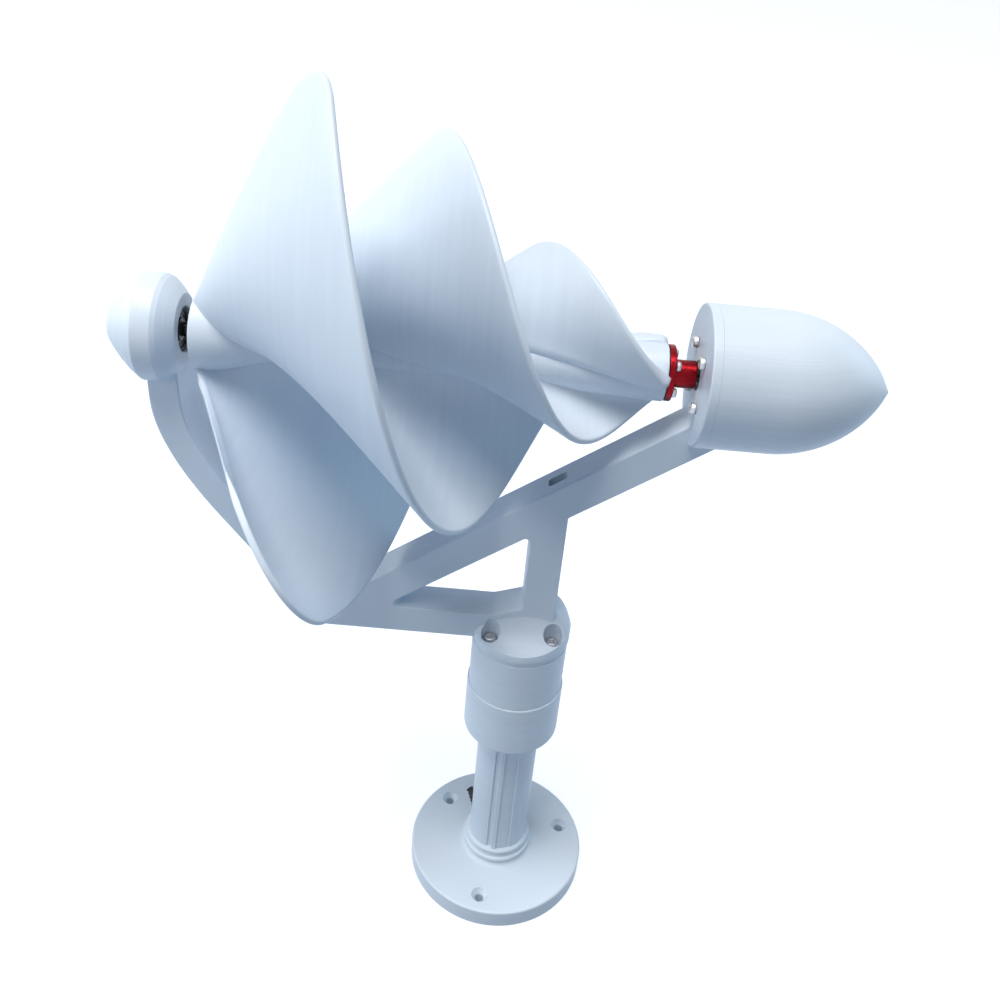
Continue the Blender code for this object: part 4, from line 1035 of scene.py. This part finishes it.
# ---------------------------------------------------------------- rotor
def hub_radius(x):
    """The hub's radius: wide at the tail end, waisted, and wider again at the coupling."""
    low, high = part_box("rotor_hub")
    waist, left, right = 0.0095, 0.0170, COUPLING_END
    from_left = 1 - ramp(x, low.x, low.x + 0.040)
    to_right = ramp(x, high.x - 0.070, high.x)
    return waist + (left - waist) * from_left + (right - waist) * to_right


def blade_mid(turn, across):
    """Points of a blade's middle surface, in metres: x, radius and the two edges' radii.

    A straight line sweeps from the hub to an edge.  The edge winds in with a slight bow and
    moves towards the coupling evenly; the root moves as a power of the turn.  Near the tip the
    line is cut short by a quarter ellipse, which rounds the corner.
    """
    rotor = bpy.context.scene.turbine_rotor
    low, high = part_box("rotor_hub")
    part = turn / rotor.turns
    drawn_in = part + rotor.edge_bow * part * (1 - part) * (1 - 2 * part)
    edge_radius = rotor.tip_radius + (COUPLING_END - rotor.tip_radius) * drawn_in
    end = high.x + 0.0010
    edge_x = rotor.edge_start + (end - rotor.edge_start) * part
    root_x = low.x + (end - low.x) * np.clip(part, 0, 1) ** rotor.root_power
    root_radius = hub_radius(root_x) - 0.0030
    trim = np.clip(1 - turn / rotor.round_turns, 0, 1)
    cut = rotor.tip_round * (1 - np.sqrt(1 - trim * trim))
    across = across * (1 - cut / (edge_radius - root_radius))
    radius = root_radius + (edge_radius - root_radius) * across
    x = root_x + (edge_x - root_x) * across
    length = np.hypot(edge_radius - root_radius, edge_x - root_x)
    return x, radius, length


def blade_shell(number):
    """One blade: its middle surface moved both ways along its normals by half a thickness.

    The thickness falls to nothing over a half round at every edge, so that both sides meet there.
    """
    rotor = bpy.context.scene.turbine_rotor
    half = rotor.wall / 2
    rounding = 1 - np.cos(np.radians(np.linspace(0, 90, 6)))
    even = np.linspace(0, 1, 190)
    across_even = np.linspace(0, 1, 26)
    columns = len(rounding) * 2 + len(across_even) - 2
    first = np.concatenate([np.zeros(len(rounding)), across_even[1:-1],
                            np.ones(len(rounding))])
    start_radius = 0.014 + (rotor.tip_radius - 0.030) * np.linspace(0, 1, columns)
    turn_band = half * rounding[:, None] / (2 * math.pi * start_radius[None])
    last_band = turn_band[-1][None]
    rest = last_band + (rotor.turns - last_band) * (even[1:, None] ** 1.35)
    turn = np.vstack([turn_band, rest])
    length = blade_mid(turn, np.ones_like(turn))[2]
    share = np.minimum(half / np.maximum(length, 0.001), 0.2)
    place = np.empty_like(turn)
    side = len(rounding)
    place[:, :side] = share[:, :side] * rounding
    place[:, side:-side] = share[:, side:-side] + (1 - 2 * share[:, side:-side]) * first[side:-side]
    place[:, -side:] = 1 - share[:, -side:] * rounding[::-1]
    x, radius, length = blade_mid(turn, place)
    angle = rotor.first_turn + 2 * math.pi * (number / rotor.blades + turn)
    angle = angle + rotor.lean * (1 - place)
    middle = np.stack([x, radius * np.cos(angle), AXIS_HEIGHT + radius * np.sin(angle)], 2)
    normal = np.cross(np.gradient(middle, axis=0), np.gradient(middle, axis=1))
    normal /= np.maximum(np.linalg.norm(normal, axis=2), 1e-12)[:, :, None]

    def roundness(distance):
        """A half round's height at a distance from its edge, from 0 to 1."""
        inside = 1 - np.clip(distance / half, 0, 1)
        return np.sqrt(1 - inside * inside)

    free = roundness((1 - place) * length) * roundness(2 * math.pi * radius * turn)
    held = roundness(place * length) * roundness((rotor.turns - turn) * 2 * math.pi * radius)
    above = np.maximum(radius - hub_radius(x), 0)
    flare = rotor.root_blend * np.exp(-above / 0.0045)
    flare = flare * ramp(2 * math.pi * radius * turn, 0.001, 0.022)
    thickness = (half + flare) * free * held
    thickness[0] = thickness[-1] = 0
    thickness[:, 0] = thickness[:, -1] = 0
    upper = middle + normal * thickness[:, :, None]
    lower = middle - normal * thickness[:, :, None]
    rows = len(turn)
    index = np.arange(rows * columns).reshape(rows, columns)
    inner = np.zeros((rows, columns), bool)
    inner[1:-1, 1:-1] = True
    other = index.copy()
    other[inner] = rows * columns + np.arange(inner.sum())
    points = np.vstack([upper.reshape(-1, 3), lower[inner]])
    faces = []
    for numbers, order in ((index, 1), (other, -1)):
        corners = (numbers[:-1, :-1], numbers[1:, :-1], numbers[1:, 1:], numbers[:-1, 1:])
        faces.append(np.stack([corner.ravel() for corner in corners], 1)[:, ::order])
    return outward(points, [np.vstack(faces)])


class OBJECT_OT_turbine_rotor(bpy.types.Operator):
    """Build the rotor: its waisted hub and its spiral blades"""
    bl_idname = "object.turbine_rotor"
    bl_label = "Rotor"

    def execute(self, context):
        low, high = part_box("rotor_hub")
        along = np.linspace(low.x + 0.0015, high.x - 0.0015, 90)
        outer = np.stack([hub_radius(along), along], 1)
        start = soften([(0.0033, low.x), (float(hub_radius(low.x)), low.x), outer[0]],
                       (0, 0.0010, 0), 5)
        stop = soften([outer[-1], (float(hub_radius(high.x)), high.x), (0.0033, high.x)],
                      (0, 0.0008, 0), 5)
        profile = np.vstack([start[:-1], outer, stop[1:]])
        hub = mesh_object("rotor_hub_turned",
                          [turned(profile, X_AXIS, (0, 0, AXIS_HEIGHT), 128)])
        finish_piece(hub, finish_named("plastic_blade"), "rotor", "rotor_plastic", "rotor_hub")
        for number in range(context.scene.turbine_rotor.blades):
            blade = mesh_object(f"spiral_blade_{number + 1}", [blade_shell(number)], 60)
            finish_piece(blade, finish_named("plastic_blade"), "rotor", "rotor_plastic",
                         f"blade_{number + 1}")
        return {"FINISHED"}


# ---------------------------------------------------------------- coupling, shafts and screws
class OBJECT_OT_turbine_coupling(bpy.types.Operator):
    """Build the red coupling and the shafts at both ends of the rotor"""
    bl_idname = "object.turbine_coupling"
    bl_label = "Coupling and shafts"

    def execute(self, context):
        low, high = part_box("coupling")
        radius = high.y
        flange = low.x + 0.0028
        outline = [(0.0033, low.x), (radius, low.x), (radius, flange), (0.0068, flange),
                   (0.0061, flange + 0.0008), (0.0061, high.x), (0.0040, high.x),
                   (0.0033, high.x - 0.0007)]
        rounds = (0, 0.0004, 0.0004, 0.0003, 0.0003, 0.0004, 0.0001, 0)
        coupling = mesh_object("coupling_turned",
                               [turned(soften(outline, rounds, 4), X_AXIS, (0, 0, AXIS_HEIGHT),
                                       128)])
        holes = []
        for index in (1, 2):
            box_low, box_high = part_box(f"set_screw_{index}")
            centre = (box_low + box_high) / 2
            away = Vector((0, centre.y, centre.z - AXIS_HEIGHT)).normalized()
            shell = turned([(0, 0.0034), (0.00165, 0.0034), (0.00165, 0.0085), (0, 0.0085)],
                           Z_AXIS, segments=32)
            matrix = (Matrix.Translation((centre.x, 0, AXIS_HEIGHT))
                      @ away.to_track_quat("Z", "X").to_matrix().to_4x4())
            holes.append(mesh_object(f"hole_{index}", [moved(shell, matrix)]))
        solid_change(coupling, holes, "DIFFERENCE")
        reshade(coupling, 30)
        finish_piece(coupling, finish_named("anodised_red"), "rotor", "red_aluminium", "coupling")
        for name, node in (("drive_shaft", "generator_shaft"), ("stub_shaft", "tail_shaft")):
            start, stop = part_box(node)
            size = stop.y
            profile = soften([(0, start.x), (size, start.x), (size, stop.x), (0, stop.x)],
                             (0, 0.0004, 0.0004, 0), 3)
            shaft = mesh_object(name, [turned(profile, X_AXIS, (0, 0, AXIS_HEIGHT), 64)])
            finish_piece(shaft, finish_named("shaft_steel"), "rotor", "bearing_steel", node)
        repaint(finish_named("screw_steel"), "set_screw_1", "set_screw_2")
        return {"FINISHED"}


def screw_shell(head_radius, head_height, length):
    """A cap screw: a knurled head with a six-sided socket, and a threaded shank.

    Radius by kind of row: plain, six-sided (a / cos of the angle within a side), or knurled
    (a small cosine wave round the head).
    """
    socket = head_radius * 0.47
    floor = head_height * 0.45
    top = head_height
    rows = [(0, floor, 0), (socket * 0.5, floor, 0), (socket, floor, 1), (socket, top - 0.0001, 1),
            (socket + 0.00015, top, 1), (head_radius - 0.0006, top, 0),
            (head_radius - 0.0003, top - 0.0001, 0), (head_radius - 0.0001, top - 0.0004, 2),
            (head_radius, top - 0.0006, 2), (head_radius, 0.0002, 2), (head_radius - 0.0002, 0, 0),
            (0.0015, 0, 0)]
    pitch = 0.0005
    for index in range(int(length / pitch) - 1):
        rows += [(0.0015, -pitch * (index + 0.5), 0), (0.00125, -pitch * (index + 1.0), 0)]
    rows += [(0.0012, -length, 0), (0, -length, 0)]
    rows = np.array(rows)
    segments = 72
    angle = np.linspace(0, 2 * math.pi, segments, endpoint=False)
    inner = rows[1:-1]
    within = (angle % (math.pi / 3)) - math.pi / 6
    six = 0.93 / np.cos(within)
    knurl = 1 + 0.014 * np.cos(angle * 24)
    scale = np.where(inner[:, 2:] == 1, six, np.where(inner[:, 2:] == 2, knurl, 1.0))
    radius = inner[:, :1] * scale
    points = np.stack([radius * np.cos(angle), radius * np.sin(angle),
                       np.repeat(inner[:, 1:2], segments, 1)], 2)
    return loop_shell(points, start=(0, 0, rows[0, 1]), end=(0, 0, rows[-1, 1]))


class OBJECT_OT_turbine_screws(bpy.types.Operator):
    """Build the socket screws of the cap, the nacelle plate and the coupling"""
    bl_idname = "object.turbine_screws"
    bl_label = "Screws"

    def execute(self, context):
        kinds = (("cap", "yaw_head", 0.00275, 0.0030, Vector((0, 0, 1))),
                 ("generator", "yaw_head", 0.00255, 0.0022, Vector((-1, 0, 0))),
                 ("coupling", "rotor", 0.0020, 0.0020, Vector((1, 0, 0))))
        for kind, body, head, height, away in kinds:
            full = 0.0020 if kind == "coupling" else 0.0030
            for index in range(4):
                node = f"{kind}_screw_{index + 1}"
                low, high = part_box(node)
                centre = (low + high) / 2
                whole = (high - low).dot(Vector((abs(away.x), abs(away.y), abs(away.z))))
                seat = centre + away * (whole / 2 - full)
                turn = Matrix.Rotation(0.4 + index * 0.9, 4, "Z")
                matrix = (Matrix.Translation(seat)
                          @ away.to_track_quat("Z", "Y").to_matrix().to_4x4() @ turn)
                shell = moved(screw_shell(head, height, whole - height), matrix)
                piece = mesh_object(f"{kind}_socket_screw_{index + 1}", [shell], 40)
                finish_piece(piece, finish_named("screw_steel"), body, "screw_steel", node)
        return {"FINISHED"}


# ---------------------------------------------------------------- stage
def aim(obj, place, target):
    """Put an object at a place with its -Z axis towards the target."""
    obj.location = place
    obj.rotation_euler = (Vector(target) - Vector(place)).to_track_quat("-Z", "Y").to_euler()


def soft_lamp(name, place, target, size, power, colour):
    """A square area light that faces a point."""
    data = bpy.data.lights.new(name, "AREA")
    data.shape = "SQUARE"
    data.size = size
    data.energy = power
    data.color = colour
    lamp = bpy.data.objects.new(name, data)
    bpy.context.scene.collection.objects.link(lamp)
    aim(lamp, place, target)
    return lamp


def seen_directly(tree):
    """1 on the camera's rays and on those that a mirror or glass sends on, otherwise 0."""
    path = tree.nodes.new("ShaderNodeLightPath")
    seen = path.outputs["Is Camera Ray"]
    for other in ("Is Glossy Ray", "Is Transmission Ray"):
        either = tree.nodes.new("ShaderNodeMath")
        either.operation = "MAXIMUM"
        tree.links.new(seen, either.inputs[0])
        tree.links.new(path.outputs[other], either.inputs[1])
        seen = either.outputs["Value"]
    return seen


class OBJECT_OT_turbine_stage(bpy.types.Operator):
    """Set the floor, the lights and the camera"""
    bl_idname = "object.turbine_stage"
    bl_label = "Stage"

    def execute(self, context):
        stage = context.scene.turbine_stage
        self.camera(context)
        floor_mesh = bpy.data.meshes.new("floor")
        half = 14.0
        floor_mesh.from_pydata([(-half, -half, 0), (half, -half, 0), (half, half, 0),
                                (-half, half, 0)], [], [(0, 1, 2, 3)])
        floor = bpy.data.objects.new("floor", floor_mesh)
        floor.location.z = -0.0002
        context.scene.collection.objects.link(floor)
        paint = new_finish("floor_paint", tuple(stage.floor), 0.9, specular=0.1)
        lift = paint.node_tree.nodes.new("ShaderNodeMath")
        lift.operation = "MULTIPLY"
        lift.inputs[1].default_value = stage.lift
        paint.node_tree.links.new(seen_directly(paint.node_tree), lift.inputs[0])
        shader = shader_of(paint)
        shader.inputs["Emission Color"].default_value = (1, 1, 1, 1)
        paint.node_tree.links.new(lift.outputs["Value"], shader.inputs["Emission Strength"])
        floor_mesh.materials.append(paint)
        self.sky(context, stage)
        middle = (-0.02, 0, 0.22)
        lamps = (("key", (-1.10, -0.95, 6.50), 3.4, stage.key, (1.0, 0.99, 0.97)),
                 ("front", (-1.15, -0.80, 0.85), 0.7, stage.fill * 0.55, (1.0, 0.98, 0.96)),
                 ("left", (-1.35, 0.15, 0.75), 0.8, stage.fill * 1.1, (0.80, 0.91, 1.0)),
                 ("right", (1.3, 0.45, 0.65), 0.8, stage.fill * 0.7, (0.45, 0.75, 1.0)))
        for name, place, size, power, colour in lamps:
            soft_lamp(name, place, middle, size, power, colour)
        context.scene.view_settings.view_transform = "Standard"
        return {"FINISHED"}

    def camera(self, context):
        """Camera turned by an azimuth and a fall, then rolled about its own line of sight."""
        azimuth, fall, roll = math.radians(1.18), math.radians(32.49), math.radians(5.66)
        ahead = Vector((math.sin(azimuth) * math.cos(fall), math.cos(azimuth) * math.cos(fall),
                        -math.sin(fall)))
        right = Vector((math.cos(azimuth), -math.sin(azimuth), 0))
        up = right.cross(ahead)
        side = right * math.cos(roll) + up * math.sin(roll)
        top = up * math.cos(roll) - right * math.sin(roll)
        data = bpy.data.cameras.new("camera")
        data.sensor_width = 36
        data.lens = 35.93
        data.shift_x = -0.00984
        data.shift_y = -0.02845
        data.clip_start = 0.01
        camera = bpy.data.objects.new("camera", data)
        matrix = Matrix((side, top, -ahead)).transposed().to_4x4()
        matrix.translation = (-0.02140, -0.38526, 0.51583)
        camera.matrix_world = matrix
        context.scene.collection.objects.link(camera)
        context.scene.camera = camera

    def sky(self, context, stage):
        """Even cool light from all round; the camera and mirrors see it as white."""
        world = bpy.data.worlds.new("studio")
        world.use_nodes = True
        context.scene.world = world
        tree = world.node_tree
        tree.nodes.clear()
        light = tree.nodes.new("ShaderNodeBackground")
        light.inputs["Color"].default_value = (0.74, 0.87, 1.0, 1)
        light.inputs["Strength"].default_value = stage.sky
        white = tree.nodes.new("ShaderNodeBackground")
        white.inputs["Color"].default_value = (1, 1, 1, 1)
        white.inputs["Strength"].default_value = 1.0
        mix = tree.nodes.new("ShaderNodeMixShader")
        output = tree.nodes.new("ShaderNodeOutputWorld")
        tree.links.new(seen_directly(tree), mix.inputs["Fac"])
        tree.links.new(light.outputs["Background"], mix.inputs[1])
        tree.links.new(white.outputs["Background"], mix.inputs[2])
        tree.links.new(mix.outputs["Shader"], output.inputs["Surface"])


# ---------------------------------------------------------------- panel and registration
SETTINGS = (("turbine_stand", TurbineStand), ("turbine_frame", TurbineFrame),
            ("turbine_rotor", TurbineRotor), ("turbine_finish", TurbineFinish),
            ("turbine_stage", TurbineStage))
OPERATORS = (OBJECT_OT_turbine_flange, OBJECT_OT_turbine_post, OBJECT_OT_turbine_boot,
             OBJECT_OT_turbine_housing, OBJECT_OT_turbine_frame, OBJECT_OT_turbine_nacelle,
             OBJECT_OT_turbine_knob, OBJECT_OT_turbine_rotor, OBJECT_OT_turbine_coupling,
             OBJECT_OT_turbine_screws, OBJECT_OT_turbine_stage)


class VIEW3D_PT_turbine(bpy.types.Panel):
    """Lists the turbine's sizes, colours and pieces"""
    bl_label = "Spiral wind turbine"
    bl_idname = "VIEW3D_PT_turbine"
    bl_space_type = "VIEW_3D"
    bl_region_type = "UI"
    bl_category = "Turbine"

    def draw(self, context):
        for name, group in SETTINGS:
            box = self.layout.box()
            box.label(text=group.__doc__.rstrip("."))
            for key in group.__annotations__:
                box.prop(getattr(context.scene, name), key)
        for operator in OPERATORS:
            self.layout.operator(operator.bl_idname)


def register():
    """Add the settings, the operators and the panel to Blender."""
    for name, group in SETTINGS:
        bpy.utils.register_class(group)
        setattr(bpy.types.Scene, name, PointerProperty(type=group))
    for operator in OPERATORS:
        bpy.utils.register_class(operator)
    bpy.utils.register_class(VIEW3D_PT_turbine)


def unregister():
    """Take them all away again."""
    bpy.utils.unregister_class(VIEW3D_PT_turbine)
    for operator in reversed(OPERATORS):
        bpy.utils.unregister_class(operator)
    for name, group in reversed(SETTINGS):
        delattr(bpy.types.Scene, name)
        bpy.utils.unregister_class(group)


def main():
    register()
    for operator in OPERATORS:
        category, name = operator.bl_idname.split(".")
        getattr(getattr(bpy.ops, category), name)()


if __name__ == "__main__":
    main()
